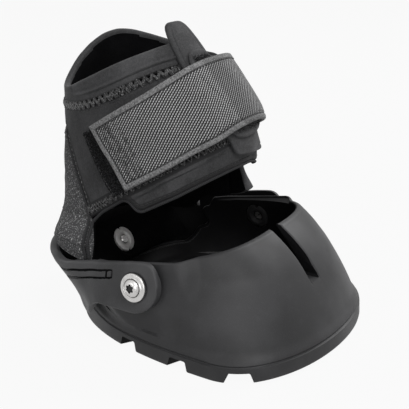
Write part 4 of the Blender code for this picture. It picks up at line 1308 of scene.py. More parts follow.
def add_fastener(label, place_frame, face, nut_face, body, nut_finish, sunk=0.0):
    """A button screw in its cup washer, and the slotted nut on its inner end."""
    kit = finishes()
    hole = screw_radius + fit_gap
    tip = nut_face + sunk
    top = face + washer_height
    bore = screw_head_radius + fit_gap * 0.4
    washer = [(bore, top + 0.25 * MM), (bore + 0.35 * MM, top + 0.4 * MM), (bore + 0.7 * MM, top + 0.22 * MM),
              (bore + 1.0 * MM, top - 0.05 * MM), *rounded_corner(washer_radius, top - 0.15 * MM, 0.55 * MM),
              (washer_radius, face + 0.3 * MM), (washer_radius - 0.3 * MM, face), (hole, face),
              (hole, top - 0.9 * MM), (bore, top - 0.5 * MM)]
    turned(label + "_cup_washer", washer, place_frame, kit["steel"], body, label + "_washer")
    seat = top + fit_gap
    head = seat + screw_head_height
    floor = head - 0.7 * MM
    screw = [(0.0, floor - 0.25 * MM), (0.9 * MM, floor), (1.85 * MM, floor), (1.92 * MM, head - 0.3 * MM),
             (2.05 * MM, head - 0.08 * MM), (2.4 * MM, head), (2.75 * MM, head - 0.08 * MM),
             (3.3 * MM, head - 0.35 * MM), (3.9 * MM, head - 0.8 * MM), (4.25 * MM, head - 1.3 * MM),
             (screw_head_radius, seat + 0.2 * MM), (screw_head_radius - 0.15 * MM, seat),
             (screw_radius, seat), (screw_radius, tip + 0.4 * MM), (screw_radius - 0.4 * MM, tip), (0.0, tip)]
    button = turned(label + "_button_screw", screw, place_frame, kit["steel"], body,
                    label + "_screw", lobed=(2, 3, 4))
    # Painted shade: the socket's walls and floor take the dark steel.
    button.data.materials.append(kit["dark_steel"])
    to_local = place_frame.inverted()
    for polygon in button.data.polygons:
        centre = to_local @ polygon.center
        if hypot(centre.x, centre.y) < 2.2 * MM and floor - 0.5 * MM < centre.z < head - 0.12 * MM:
            polygon.material_index = 1
    inner = nut_face + nut_flange
    nut = [(hole, inner + nut_barrel), (nut_barrel_radius, inner + nut_barrel), (nut_barrel_radius, inner),
           (nut_radius - 0.1 * MM, inner), (nut_radius, inner - 0.1 * MM), (nut_radius, nut_face + 0.55 * MM),
           (nut_radius - 0.2 * MM, nut_face + 0.2 * MM), (nut_radius - 0.7 * MM, nut_face),
           (4.4 * MM, nut_face - 0.1 * MM), (4.1 * MM, nut_face + 0.05 * MM),
           (3.2 * MM, nut_face + 0.25 * MM), (hole, nut_face + 0.35 * MM)]
    turned(label + "_slotted_nut", nut, place_frame, nut_finish, body, label + "_nut", notches=True)


def add_fasteners():
    kit = finishes()
    for label, side in (("near_side", -1.0), ("far_side", 1.0)):
        nut_face = -shell_wall - nut_flange * 0.5 - fit_gap
        # Painted shade: the side nuts are drawn in dark steel.
        add_fastener(label, side_frame(side), side_face + pivot_play * 0.8, nut_face, "shell",
                     kit["dark_steel"], 1.6 * MM)
    # Painted light: the heel nut takes the lightened steel.
    add_fastener("heel", heel_frame, heel_seat + fit_gap, heel_nut_face, "heel_cup_body",
                 kit["lit_brushed_steel"])


# Heel cup and its pad

def cup_top(y):
    """The cup stands a little above the shell's rim."""
    return cup_height(y) + np.interp(y, cup_raise_ys, cup_raises)


def softer_minimum(a, b, size):
    share = np.clip(0.5 + 0.5 * (b - a) / size, 0.0, 1.0)
    return mix(b, a, share) - size * share * (1.0 - share)


def cup_bounds(y):
    """The lowest and highest point of the cup at a place along the boot."""
    top = cup_top(y)
    half = np.sqrt(np.maximum(0.0, tab_reach ** 2 - (y - tab_centre[0]) ** 2))
    foot = mix(tab_centre[1] - tab_reach, cup_foot_z, smooth(rim_mid_y, back_drop_y + back_drop_run, y))
    front = y < tab_centre[0]
    return (np.where(front, tab_centre[1] - half, foot),
            np.where(front, softer_minimum(top, tab_centre[1] + half, 3.0 * MM), top))


def groove_depth_at(y, below):
    """Two narrow grooves run under the rim and are joined by square ends near each pivot."""
    upper = mix(3.9 * MM, 4.3 * MM, smooth(15.0 * MM, 60.0 * MM, y))
    lower = upper + groove_spacing
    line = np.maximum(dome(below, upper, 0.8 * MM), dome(below, lower, 0.8 * MM)) * smooth(
        groove_end_y - 0.3 * MM, groove_end_y + 0.3 * MM, y)
    between = smooth(upper - 0.3 * MM, upper, below) * (1.0 - smooth(lower, lower + 0.3 * MM, below))
    ends = np.maximum(dome(y, groove_end_y, 0.7 * MM), dome(y, groove_end_y + 3.0 * MM, 0.6 * MM)) * between
    return groove_depth * np.maximum(line, ends)


def cup_stations():
    length = rim_mid_y - (tab_centre[0] - tab_reach)
    turns = np.linspace(0.02, 1.0, 26)
    front = -(length - tab_reach * (1.0 - np.cos(turns * pi / 2.0)))
    straight = np.linspace(-(rim_mid_y - tab_centre[0]), 0.0, 34)[1:]
    quarter = pi / 2.0 * np.linspace(0.0, 1.0, 96)[1:]
    return np.concatenate([front, straight, quarter])


def add_cup():
    stations = cup_stations()
    _, ys = cup_point(stations, np.full_like(stations, cup_rim_z), 0.0)
    low, high = cup_bounds(ys)
    reach = high - low
    rounds = np.minimum(cup_round, reach * 0.3)
    rows = []
    for share in np.concatenate([np.linspace(0.0, 1.0, 12) ** 2 * 0.14, np.linspace(0.14, 0.55, 14)[1:],
                                 np.linspace(0.55, 1.0, 46)[1:]]):
        z = mix(low, high, share)
        x, y = cup_point(stations, z, 0.0)
        in_front = tab_reach - np.hypot(y - tab_centre[0], z - tab_centre[1])
        distance = np.minimum(z - low, high - z)
        distance = np.maximum(0.0, np.where(ys < tab_centre[0], np.minimum(distance, in_front), distance))
        beside = smooth(12.0 * MM, 26.0 * MM, np.abs(x)) * smooth(20.0 * MM, 44.0 * MM, ys)
        taper = cup_taper * np.clip((34.0 * MM - z) / (14.0 * MM), 0.0, 1.0) * beside
        depth = rounding(distance, rounds) + groove_depth_at(ys, high - z) + taper
        rows.append((z, np.minimum(depth, cup_wall - 0.5 * MM)))
    foot_depth = rows[0][1]
    for share in (0.35, 0.65):
        rows.append((high, mix(rounds, cup_wall - 0.8 * MM, share)))
    for share in np.concatenate([[1.0], np.linspace(0.97, 0.03, 14), [0.0]]):
        depth = cup_wall if 0.0 < share < 1.0 else cup_wall - 0.4 * MM
        rows.append((mix(low, high, share), np.full_like(low, depth)))
    for share in (0.65, 0.35):
        rows.append((low, mix(foot_depth, cup_wall - 0.4 * MM, share)))
    columns_made = []
    for z, depth in rows:
        x, y = cup_point(stations, z, depth)
        beside = smooth(10.0 * MM, 24.0 * MM, np.abs(x)) * smooth(20.0 * MM, 44.0 * MM, ys)
        slant = mix(*cup_slant, depth / cup_wall) * (1.0 - smooth(0.0, 10.0 * MM, z - low)) * beside
        columns_made.append(np.stack([x, y, z + slant], axis=-1))
    near = np.stack(columns_made, axis=1)
    far = near[:-1][::-1] * np.array((-1.0, 1.0, 1.0))
    grid = np.concatenate([near, far])
    columns, count = grid.shape[:2]
    grid = np.concatenate([grid, grid[:, :1]], axis=1)
    faces = quads(columns, count + 1)
    first = list(range(count))
    last = [(columns - 1) * (count + 1) + k for k in range(count)]
    faces += [first, last[::-1]]
    raw = linked("raw_cup", settled(new_mesh("raw_cup", grid.reshape(-1, 3), faces), 0.001 * MM))
    seat = cylinder_block("heel_seat", heel_frame, washer_radius + fit_gap, heel_seat, 3.0 * cup_wall)
    hole = cylinder_block("heel_hole", heel_frame, screw_radius + fit_gap, -2.0 * cup_wall, 2.0 * cup_wall)
    holes = side_holes("tab_hole", screw_radius + pivot_play, -2.0 * MM, side_face + 2.0 * MM)
    rings = side_holes("washer_seat", washer_radius + 0.5 * MM, side_face - 0.5 * MM, side_face + 4.0 * MM)
    mesh = carved(raw, [seat, hole, holes, rings])
    cup = place_mesh("moulded_heel_cup", mesh, finishes()["cup"], "heel_cup_body",
                     radians(38.0))
    # Painted shade: the cup's inner faces and the floors of its grooves take the dark inner rubber.
    mesh.materials.append(finishes()["groove"])
    for polygon in mesh.polygons:
        x, y, z = polygon.center
        outward = polygon.normal.x * x + polygon.normal.y * max(y, 0.0)
        if outward < -0.4 * hypot(x, max(y, 0.0)):
            polygon.material_index = 1
        elif outward > 0.0 and groove_depth_at(y, float(cup_top(y)) - z) > 0.35 * MM:
            polygon.material_index = 1
    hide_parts("heel_cup")


def add_pad():
    """The padded lining in the heel cup, drawn in under its nut."""
    foot_z = shell_back_z + 2.0 * fit_gap
    us = np.linspace(-1.0, 1.0, 150)
    rises = spaced(pad_top_z - foot_z, 0.7 * MM, 1.6 * MM)
    share, rise = np.abs(us)[:, None] + 0.0 * rises, rises + 0.0 * us[:, None]
    z = mix(foot_z, pad_top_z, rise)
    station = pi / 2.0 - pad_angle * share
    crown = 1.0 - np.abs(2.0 * rise - 1.0) ** 3.0 * (1.0 - pad_edge_share)
    depth = mix(pad_thickness, pad_side_thickness, share * share) * crown
    side = np.where(us < 0.0, 1.0, -1.0)[:, None]

    def at(below):
        x, y = cup_point(station, z, below)
        return np.stack([x * side, y, z], axis=-1)

    back, front = at(cup_wall + fit_gap + 0.0 * depth), at(cup_wall + fit_gap + depth)
    to_local = np.linalg.inv(np.array(heel_frame))
    local = front @ to_local[:3, :3].T + to_local[:3, 3]
    reach = np.hypot(local[..., 0], local[..., 1])
    turn = np.arctan2(local[..., 1], local[..., 0])
    pressed = 1.0 - smooth(nut_radius + 0.6 * MM, nut_radius + 3.4 * MM, reach)
    pucker = np.cos(9.0 * turn + 2.0) * dome(reach, nut_radius + 4.5 * MM, 4.0 * MM) * 0.35 * MM
    seat_level = heel_nut_face + nut_flange + 0.15 * MM
    pull = np.maximum(0.0, seat_level - local[..., 2]) * pressed
    axis = np.array(heel_frame)[:3, 2]
    soft = ripple(front, 9.0 * MM, 3.0, 2) * 0.3 * MM
    front = front + axis * (pull + pucker + soft)[..., None]
    verts = np.concatenate([front.reshape(-1, 3), back.reshape(-1, 3)])
    mesh = settled(new_mesh("pad", verts, double_faces(*z.shape)))
    pad = place_mesh("padded_heel_lining", mesh, finishes()["lining"], "heel_cup_body",
                     radians(60.0))
    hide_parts("heel_pad")


# Gaiter

def constant(value):
    return lambda z: value + 0.0 * z


def beside_seam(side, away):
    """The line along one side's heel seam, on the wrap's edge or, with away below zero, the heel panel's."""
    return lambda z: side * (heel_seam(z) + away * seam_clearance(z))


near_seam, far_seam = beside_seam(1.0, 1.0), beside_seam(-1.0, 1.0)
heel_near_edge, heel_far_edge = beside_seam(1.0, -1.0), beside_seam(-1.0, -1.0)


def soft_folds(places, distance, amount, size, seed):
    """Gentle creases that fade out at the seams."""
    return amount * ripple(places, size, seed, 2) * smooth(0.0, 4.0 * MM, distance)


def collar_relief(places, u, v, distance, angle):
    """A smooth facing with a raised lower edge, whose rear end is rounded."""
    corner = 5.0 * MM
    from_end = (angle - facing_end_angle) * 41.0 * MM
    from_foot = v - facing_foot
    in_corner = corner - np.hypot(np.maximum(corner - from_end, 0.0), np.maximum(corner - from_foot, 0.0))
    inside = np.minimum(np.minimum(from_end, from_foot), in_corner)
    step = 0.8 * MM * smooth(-0.2 * MM, 0.5 * MM, inside)
    bead = 0.5 * MM * dome(inside, 0.8 * MM, 0.9 * MM) - 0.3 * MM * dome(inside, 2.3 * MM, 1.1 * MM)
    return step + bead + 0.3 * MM * ripple(places, 22.0 * MM, 1.0, 2)


def wrap_relief(places, u, v, distance, angle):
    height = v[:, -1:]
    sewn = np.maximum(dome(v, height - 2.0 * MM, 3.0 * MM), dome(v, 1.6 * MM, 2.4 * MM))
    return soft_folds(places, distance, 0.5 * MM, 15.0 * MM, 4.0) - 0.45 * MM * sewn


def band_relief(places, u, v, distance, angle):
    """The lower band has a short raised fold under its top seam at the front."""
    height = v[:, -1:]
    starts = smooth(radians(98.0), radians(108.0), angle)
    ends = smooth(radians(154.0), radians(166.0), angle)
    line = height - 5.0 * MM
    fold = (0.6 * MM * smooth(line - 0.3 * MM, line + 0.3 * MM, v)
            + 0.4 * MM * dome(v, line + 0.5 * MM, 0.7 * MM))
    sewn = dome(v, height - 1.4 * MM, 2.2 * MM)
    return (soft_folds(places, distance, 0.35 * MM, 14.0 * MM, 5.0) + fold * starts * (1.0 - ends)
            - 0.45 * MM * sewn)


def heel_relief(places, u, v, distance, angle):
    """The stretch panel puckers along its twin stitched seams and across its one level seam."""
    wave = np.sin(v * 2.0 * pi / (4.3 * MM) + 2.0 * np.sin(v / (9.0 * MM)))
    pucker = wave * dome(distance, 3.6 * MM, 4.2 * MM)
    rows = dome(distance, 2.2 * MM, 0.9 * MM) + dome(distance, 5.0 * MM, 0.9 * MM)
    level = dome(places[..., 2], heel_cross_seam(angle), 1.1 * MM)
    bulge = 0.8 * MM * smooth(0.0, 14.0 * MM, distance) + flare(angle, places[..., 2])
    return (0.5 * MM * pucker - 0.3 * MM * rows - 0.45 * MM * level + bulge
            + soft_folds(places, distance, 0.45 * MM, 12.0 * MM, 6.0))


def plain_relief(places, u, v, distance, angle):
    return soft_folds(places, distance, 0.5 * MM, 17.0 * MM, 7.0)


def lining_relief(places, u, v, distance, angle):
    """The lining gathers above the heel nut and lies flatter higher up."""
    low = 1.0 - smooth(48.0 * MM, 84.0 * MM, places[..., 2])
    stretched = places * np.array((1.0, 1.0, 0.55))
    wrinkle = ripple(stretched, 7.5 * MM, 8.0, 2)
    return -(0.35 + 1.3 * low) * MM * (0.5 + 0.5 * wrinkle)


def heel_cross_seam(angle):
    """The heel panel's one level seam rises a little towards its sides."""
    return heel_cross_z + heel_cross_rise * np.abs(angle)


def far_foot(angle):
    """The far panel's hem rises towards the front, like the near one."""
    return np.interp(angle, far_hem_angles, far_hem_heights)


def flare(angle, z):
    """How far the gaiter's foot spreads outwards to meet the heel cup's rim."""
    side = smooth(*flare_angles, np.abs(angle))
    crest = mix(*flare_crests, side)
    rising = np.clip(1.0 - (crest - z) / flare_rise, 0.0, 1.0)
    return mix(*flare_reaches, side) * np.minimum(rising, 1.0 - smooth(crest, flare_end_z, z))


def far_relief(places, u, v, distance, angle):
    low = 1.0 - smooth(58.0 * MM, 74.0 * MM, places[..., 2])
    front = smooth(radians(105.0), radians(126.0), np.abs(angle))
    return (plain_relief(places, u, v, distance, angle) + 3.2 * MM * low * front
            + flare(angle, places[..., 2]) * (1.0 - front))


def far_front(z):
    """The far panel's front edge runs forward towards its foot."""
    return far_front_angle - far_flare * (1.0 - smooth(*far_flare_levels, z))


def lining_foot(angle):
    """The lining's foot follows the far panel's hem and tucks into the cup at the back."""
    return np.interp(angle, lining_foot_angles, lining_foot_heights)


def lining_near_end(z):
    return heel_near_edge(z) - lining_near_turn


def spaced_grid(along, up):
    """Shares along and up a panel, each from its length, step and rounded edge in millimetres."""
    return [spaced(*(value * MM for value in values)) for values in (along, up)]


def sewn_panel(name, node, edges, ends, along, up, finish, relief, body="gaiter_and_cup",
               slot="smooth_neoprene", thickness=neoprene, inner_relief=0.4, **backing):
    """A lined panel of the gaiter, between two edge lines and two end lines."""
    kit = finishes()
    angle, z = fill(*edges, *ends, *spaced_grid(along, up), layer_gap / 2.0)
    if angle[-1, 0] < angle[0, 0]:
        angle, z = angle[::-1], z[::-1]
    piece = panel(name, angle, z, np.zeros(1), thickness, kit[finish], body, slot, relief, inner_relief,
                  backing=kit["lining"], **backing)
    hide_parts(node)
    return piece


def add_gaiter():
    """The gaiter's panels, sewn edge to edge."""
    far_end, near_end = constant(far_front_angle), constant(wrap_end_angle)
    heel_top, heel_ends = constant(heel_top_z), (heel_far_edge, heel_near_edge)
    collar = sewn_panel("collar_roll", "collar", (collar_line, rim_line), (far_end, near_end),
                        (250.0, 1.05, 1.5), (17.0, 0.75, 1.5), "neoprene", collar_relief, "gaiter",
                        inner_relief=0.2, backing_from=2.4 * MM)
    # Painted shade: the wrap and the band below take the darkened neoprene.
    wrap = sewn_panel("near_side_wrap", "near_wrap", (band_line, collar_line), (near_seam, near_end),
                      (118.0, 0.95, 1.5), (50.0, 0.95, 1.5), "painted_shade_neoprene", wrap_relief)
    band = sewn_panel("hem_band", "lower_band", (hem_line, band_line), (near_seam, near_end),
                      (118.0, 0.95, 1.5), (13.0, 0.7, 1.5), "painted_shade_neoprene", band_relief)
    far_side = sewn_panel("far_side_wrap", "far_panel", (far_foot, collar_line), (far_seam, far_front),
                          (66.0, 1.2, 1.5), (80.0, 1.2, 1.5), "neoprene", far_relief)
    heel = sewn_panel("stretch_heel", "heel_panel", (constant(heel_foot_z), heel_top), heel_ends,
                      (100.0, 0.85, 1.3), (62.0, 0.85, 1.3), "stretch", heel_relief,
                      slot="stretch_cloth", thickness=stretch_cloth, inner_relief=0.3)
    tendon = sewn_panel("tendon_strip", "tendon_panel", (heel_top, collar_line), heel_ends,
                        (60.0, 1.0, 1.5), (12.0, 0.8, 1.5), "neoprene", plain_relief, "gaiter")

    angle, z = fill(lining_foot, collar_line, constant(lining_far_angle), lining_near_end,
                    *spaced_grid((170.0, 1.5, 0.6), (66.0, 1.2, 0.6)), layer_gap / 2.0)
    lining = panel("inner_lining", angle, z, np.full(1, -neoprene - lining_gap), lining_cloth,
                   finishes()["lining"], "gaiter_and_cup", "lining_cloth", lining_relief, 1.0)

    for piece, flat, area in (
            (wrap, (50.0, 126.0), 6000.0), (band, (18.0, 126.0), 1750.0), (far_side, (74.0, 92.0), 5000.0),
            (heel, (62.0, 128.0), 7400.0), (tendon, (18.0, 64.0), 800.0), (lining, (92.0, 176.0), 10800.0)):
        flat[0] * MM
        flat[1] * MM
        area * MM * MM


# Closure

def ribbon_grid(first, last, inset, us, vs):
    """Angles and heights of a strip that lies under the strap, inset from its edges."""
    us, vs = us[:, None], vs[None, :]
    angle = mix(first(vs), last(vs), us)
    return angle, level_z(angle, mix(strap_low(angle) + inset, strap_high(angle) - inset, vs))


def strap_first(v):
    return mix(strap_low_end_angle, strap_high_end_angle, v)


def strap_relief(places, u, v, distance, angle):
    """A raised bound border, sunken stitch lines, and stitched rows at the free end."""
    border = 0.3 * MM * (1.0 - smooth(strap_border - 0.3 * MM, strap_border, distance))
    groove = -0.35 * MM * dome(distance, strap_border + 0.25 * MM, 0.5 * MM)
    end_rows = -0.3 * MM * (dome(u, end_row_places[0], 1.6 * MM) + dome(u, end_row_places[1], 1.6 * MM))
    crease = -0.35 * MM * dome(u + 0.25 * v, crease_place, 1.8 * MM)
    return (border + groove + end_rows * (distance > strap_border) + crease
            + 0.3 * MM * ripple(places, 24.0 * MM, 9.0, 2))


def strap_place(along, across, lift=0.0):
    """Places and outward directions on the strap's face, at distances from its free end and low edge."""
    share = across / strap_width
    start = strap_first(share)
    angle = start + along / strap_length * (closure_angle - start)
    z = level_z(angle, mix(strap_low(angle), strap_high(angle), share))
    plain, out = tube_frame(angle, z)
    return plain + out * (strap_lift(angle, share) + lift)[..., None], out


def tongue_top(angle):
    away = (angle - tongue_centre_angle) / tongue_tab_angle
    base = level_z(angle, strap_high(angle) - hook_inset)
    crown = np.sqrt(np.maximum(0.0, 1.0 - np.minimum(1.0, np.abs(away)) ** 4.4))
    return np.where(np.abs(away) < 1.0, mix(base, tongue_tab_z, crown), base)


def tongue_foot(angle):
    corner = 1.0 - smooth(tongue_near_angles[0], tongue_near_angles[0] + radians(14.0), angle)
    return tongue_foot_z - 8.0 * MM * (angle - tongue_near_angles[0]) + 9.0 * MM * corner * corner


def tongue_near(z):
    return mix(*tongue_near_angles, smooth(100.0 * MM, 136.0 * MM, z))


def patch_edge(high, angle):
    """The patch's rounded top or foot."""
    near, far = patch_near_angles[int(high)], patch_far_angles[int(high)]
    share = np.clip((angle - near) / (far - near), 0.0, 1.0)
    drop = 5.0 * MM * np.abs(2.0 * share - 1.0) ** 4.0
    return patch_levels[1] - drop if high else patch_levels[0] + drop


def patch_side(ends):
    return lambda z: mix(*ends, smooth(*patch_levels, z))


def tongue_relief(places, u, v, distance, angle):
    return (-0.45 * MM * dome(distance, 2.7 * MM, 0.55 * MM) + 0.25 * MM * ripple(places, 16.0 * MM, 11.0, 2)
            * smooth(0.0, 3.0 * MM, distance))


def patch_relief(places, u, v, distance, angle):
    return 0.45 * MM * dome(distance, 1.3 * MM, 1.4 * MM) - 0.25 * MM * smooth(2.4 * MM, 3.2 * MM, distance)


def rounded_shares(count):
    """Shares that crowd together at both ends."""
    return 0.5 - 0.5 * np.cos(pi * np.linspace(0.0, 1.0, count))


def add_tongue():
    """The tongue with its rounded tab, and the bound patch of pile on it."""
    kit = finishes()
    tab_share_end = 2.0 * tongue_tab_angle / (closure_angle - tongue_near_angles[1])
    us = np.concatenate([rounded_shares(64) * tab_share_end,
                         mix(tab_share_end, 1.0, spaced(34.0 * MM, 0.9 * MM, 1.0 * MM)[1:])])
    vs = spaced(50.0 * MM, 0.85 * MM, 1.2 * MM)
    angle, z = fill(tongue_foot, tongue_top, tongue_near, constant(closure_angle), us, vs)
    tongue = panel("front_tongue", angle, z, np.full(1, tongue_lift), tongue_thickness, kit["neoprene"],
                   "front_closure", "smooth_neoprene", tongue_relief, 0.2)
    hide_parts("tongue")

    near, far = patch_side(patch_near_angles), patch_side(patch_far_angles)
    angle, z = fill(lambda a: patch_edge(False, a), lambda a: patch_edge(True, a), near, far,
                    rounded_shares(56), spaced(42.0 * MM, 0.8 * MM, 0.8 * MM))
    patch = panel("tongue_pile_patch", angle, z, np.full(1, patch_lift), patch_thickness, kit["neoprene"],
                  "front_closure", "loop_pile", patch_relief, 0.2)
    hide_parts("tongue_patch")
    spots = np.random.RandomState(5).rand(tongue_tufts, 2)
    z = mix(patch_levels[0] + 2.8 * MM, patch_levels[1] - 2.8 * MM, spots[:, 1])
    angle = mix(near(z) + 0.06, far(z) - 0.06, spots[:, 0])
    plain, out = tube_frame(angle, z)
    tufts("tongue_pile", plain + out * (patch_lift - 0.3 * MM), out, "front_closure", 21)


def tufts(name, places, outs, body, seed):
    """Short bent fibres that stand out of a patch of pile."""
    length = bpy.context.scene.hoof_boot_sizes.tuft_length
    dice = np.random.RandomState(seed)
    count = len(places)
    lean = unit(np.cross(outs, dice.randn(count, 3)))
    reach = length * (0.6 + 0.7 * dice.rand(count, 1))
    curl = dice.rand(count, 1) * 1.1 + 0.3
    shares = np.array((0.0, 0.4, 0.75, 1.0))[None, :, None]
    middle = (places[:, None] + outs[:, None] * (reach[:, None] * np.sin(shares * pi * 0.62))
              + lean[:, None] * (reach * curl)[:, None] * shares ** 2)
    ring = circles(unit(np.cross(lean, outs)), outs, 3)
    widths = tuft_radius * np.array((1.0, 0.95, 0.8, 0.45))
    verts = middle[:, :, None] + ring[:, None] * widths[None, :, None, None]
    faces = tube_faces(count, len(widths), 3)
    return add_piece(name, verts.reshape(-1, 3), faces, finishes()["pile"], body)


def fold_ends():
    """Two points on the gaiter, a little to either side of the strap's fold angle at the fold's height."""
    return [tuple(tube_frame(np.array(strap_fold_angle + turn), np.array(strap_fold_z))[0])
            for turn in (strap_fold_turn, -strap_fold_turn)]


def add_strap():
    """The webbing strap: one length from the far side, round the front fold, to its free end."""
    kit = finishes()
    us, vs = spaced(strap_length, 0.55 * MM, 0.8 * MM), spaced(strap_width, 0.55 * MM, 0.8 * MM)
    angle, z = ribbon_grid(strap_first, lambda v: closure_angle + 0.0 * v, 0.0, us, vs)
    strap = panel("closing_strap", angle, z, strap_lift(angle, vs[None, :]), strap_thickness,
                  kit["webbing"], None, "webbing", strap_relief, 0.3, 0.35)
    fold_from, fold_to = fold_ends()
    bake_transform(strap)
    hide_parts("strap_root", "strap_tail")

    inset = hook_inset / seat_radius / 2.0
    angle, z = ribbon_grid(lambda v: strap_first(v) + inset,
                           lambda v: strap_rise_angles[0] - radians(1.0) + 0.0 * v, hook_inset,
                           spaced(32.0 * MM, 1.0 * MM, 0.5 * MM), spaced(31.0 * MM, 1.0 * MM, 0.5 * MM))
    hook = panel("hook_tape", angle, z, np.full(1, hook_lift), hook_thickness, kit["pile"], "strap",
                 "loop_pile")
    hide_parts("hook_patch")

    angle, z = ribbon_grid(lambda v: mix(loop_low_angles[0], loop_high_angles[0], v),
                           lambda v: mix(loop_low_angles[1], loop_high_angles[1], v), 0.3 * MM,
                           spaced(50.0 * MM, 1.0 * MM, 0.5 * MM), spaced(35.0 * MM, 1.0 * MM, 0.5 * MM))
    loop = panel("loop_tape", angle, z, np.full(1, loop_lift), loop_thickness, kit["pile"], "gaiter",
                 "loop_pile")
    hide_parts("loop_patch")
    spots = np.random.RandomState(6).rand(loop_tufts, 2)
    start = mix(loop_low_angles[0], loop_high_angles[0], spots[:, 1])
    angle = start + radians(1.0) + spots[:, 0] * radians(17.0)
    z = level_z(angle, mix(strap_low(angle) + 1.2 * MM, strap_high(angle) - 1.2 * MM, spots[:, 1]))
    plain, out = tube_frame(angle, z)
    tufts("loop_pile_fibres", plain + out * (loop_lift - 0.2 * MM), out, "gaiter", 22)


# Bindings and stitching

def on_gaiter(angles, heights, lift=0.0):
    plain, out = tube_frame(angles, heights)
    return plain + out * lift, out


def hem_route():
    """The hem's line: up beside the near heel seam, round a corner and along the hem to the front."""
    corner = 5.0 * MM
    hem_start = float(near_seam(np.array(57.0 * MM))) + radians(5.0)
    rise = np.linspace(38.0 * MM, float(hem_line(hem_start)) - corner, 40)
    turn = np.linspace(0.0, pi / 2.0, 14)[1:]
    across = radians(1.0) + corner / (46.0 * MM)
    beside = near_seam(rise) + radians(1.6)
    corner_angles = beside[-1] + across * (1.0 - np.cos(turn))
    corner_heights = rise[-1] + (hem_line(corner_angles) - rise[-1]) * np.sin(turn)
    angles = np.linspace(corner_angles[-1], wrap_end_angle, 240)[1:]
    all_angles = np.concatenate([beside, corner_angles, angles])
    heights = np.concatenate([rise, corner_heights, hem_line(angles)]) - binding_radius * 0.5
    plain, out = tube_frame(all_angles, heights)
    return plain + out * (flare(all_angles, heights) - neoprene * 0.3)[:, None]


def add_bindings():
    """The bound hem and the pipings along the heel panel's seams."""
    kit = finishes()
    hem = tube_piece("bound_hem", hem_route(), binding_radius, kit["binding"], "gaiter_and_cup",
                     14)
    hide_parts("hem_binding")
    for name, node, side, foot_z in (("near_heel_cord", "near_heel_piping", 1.0, heel_foot_z),
                                     ("far_heel_cord", "far_heel_piping", -1.0, far_leg_z)):
        heights = np.linspace(foot_z + 2.0 * binding_radius, heel_top_z, 110)
        angles = side * heel_seam(heights)
        plain, out = tube_frame(angles, heights)
        spread = flare(angles, heights)[:, None]
        cord = tube_piece(name, plain + out * spread, cord_radius, kit["binding"], "gaiter_and_cup")
        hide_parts(node)


def row_on_gaiter(angles, heights, lift, pitch):
    return running_row(*on_gaiter(angles, heights, lift), pitch)


def seam_zigzag(name, line, rows, arch, body):
    """Crossing rows of heavy thread along a seam.

    Each row has its pitch as a share of the zigzag pitch, then half its height and its lag in millimetres.
    """
    sizes = bpy.context.scene.hoof_boot_sizes
    made = [zigzag_rows(*line, sizes.zigzag_pitch * pitch, half * MM, lag * MM) for pitch, half, lag in rows]
    stitches(name, *joined_rows(made), sizes.thread_radius * 1.1, arch, finishes()["zigzag_thread"], body)


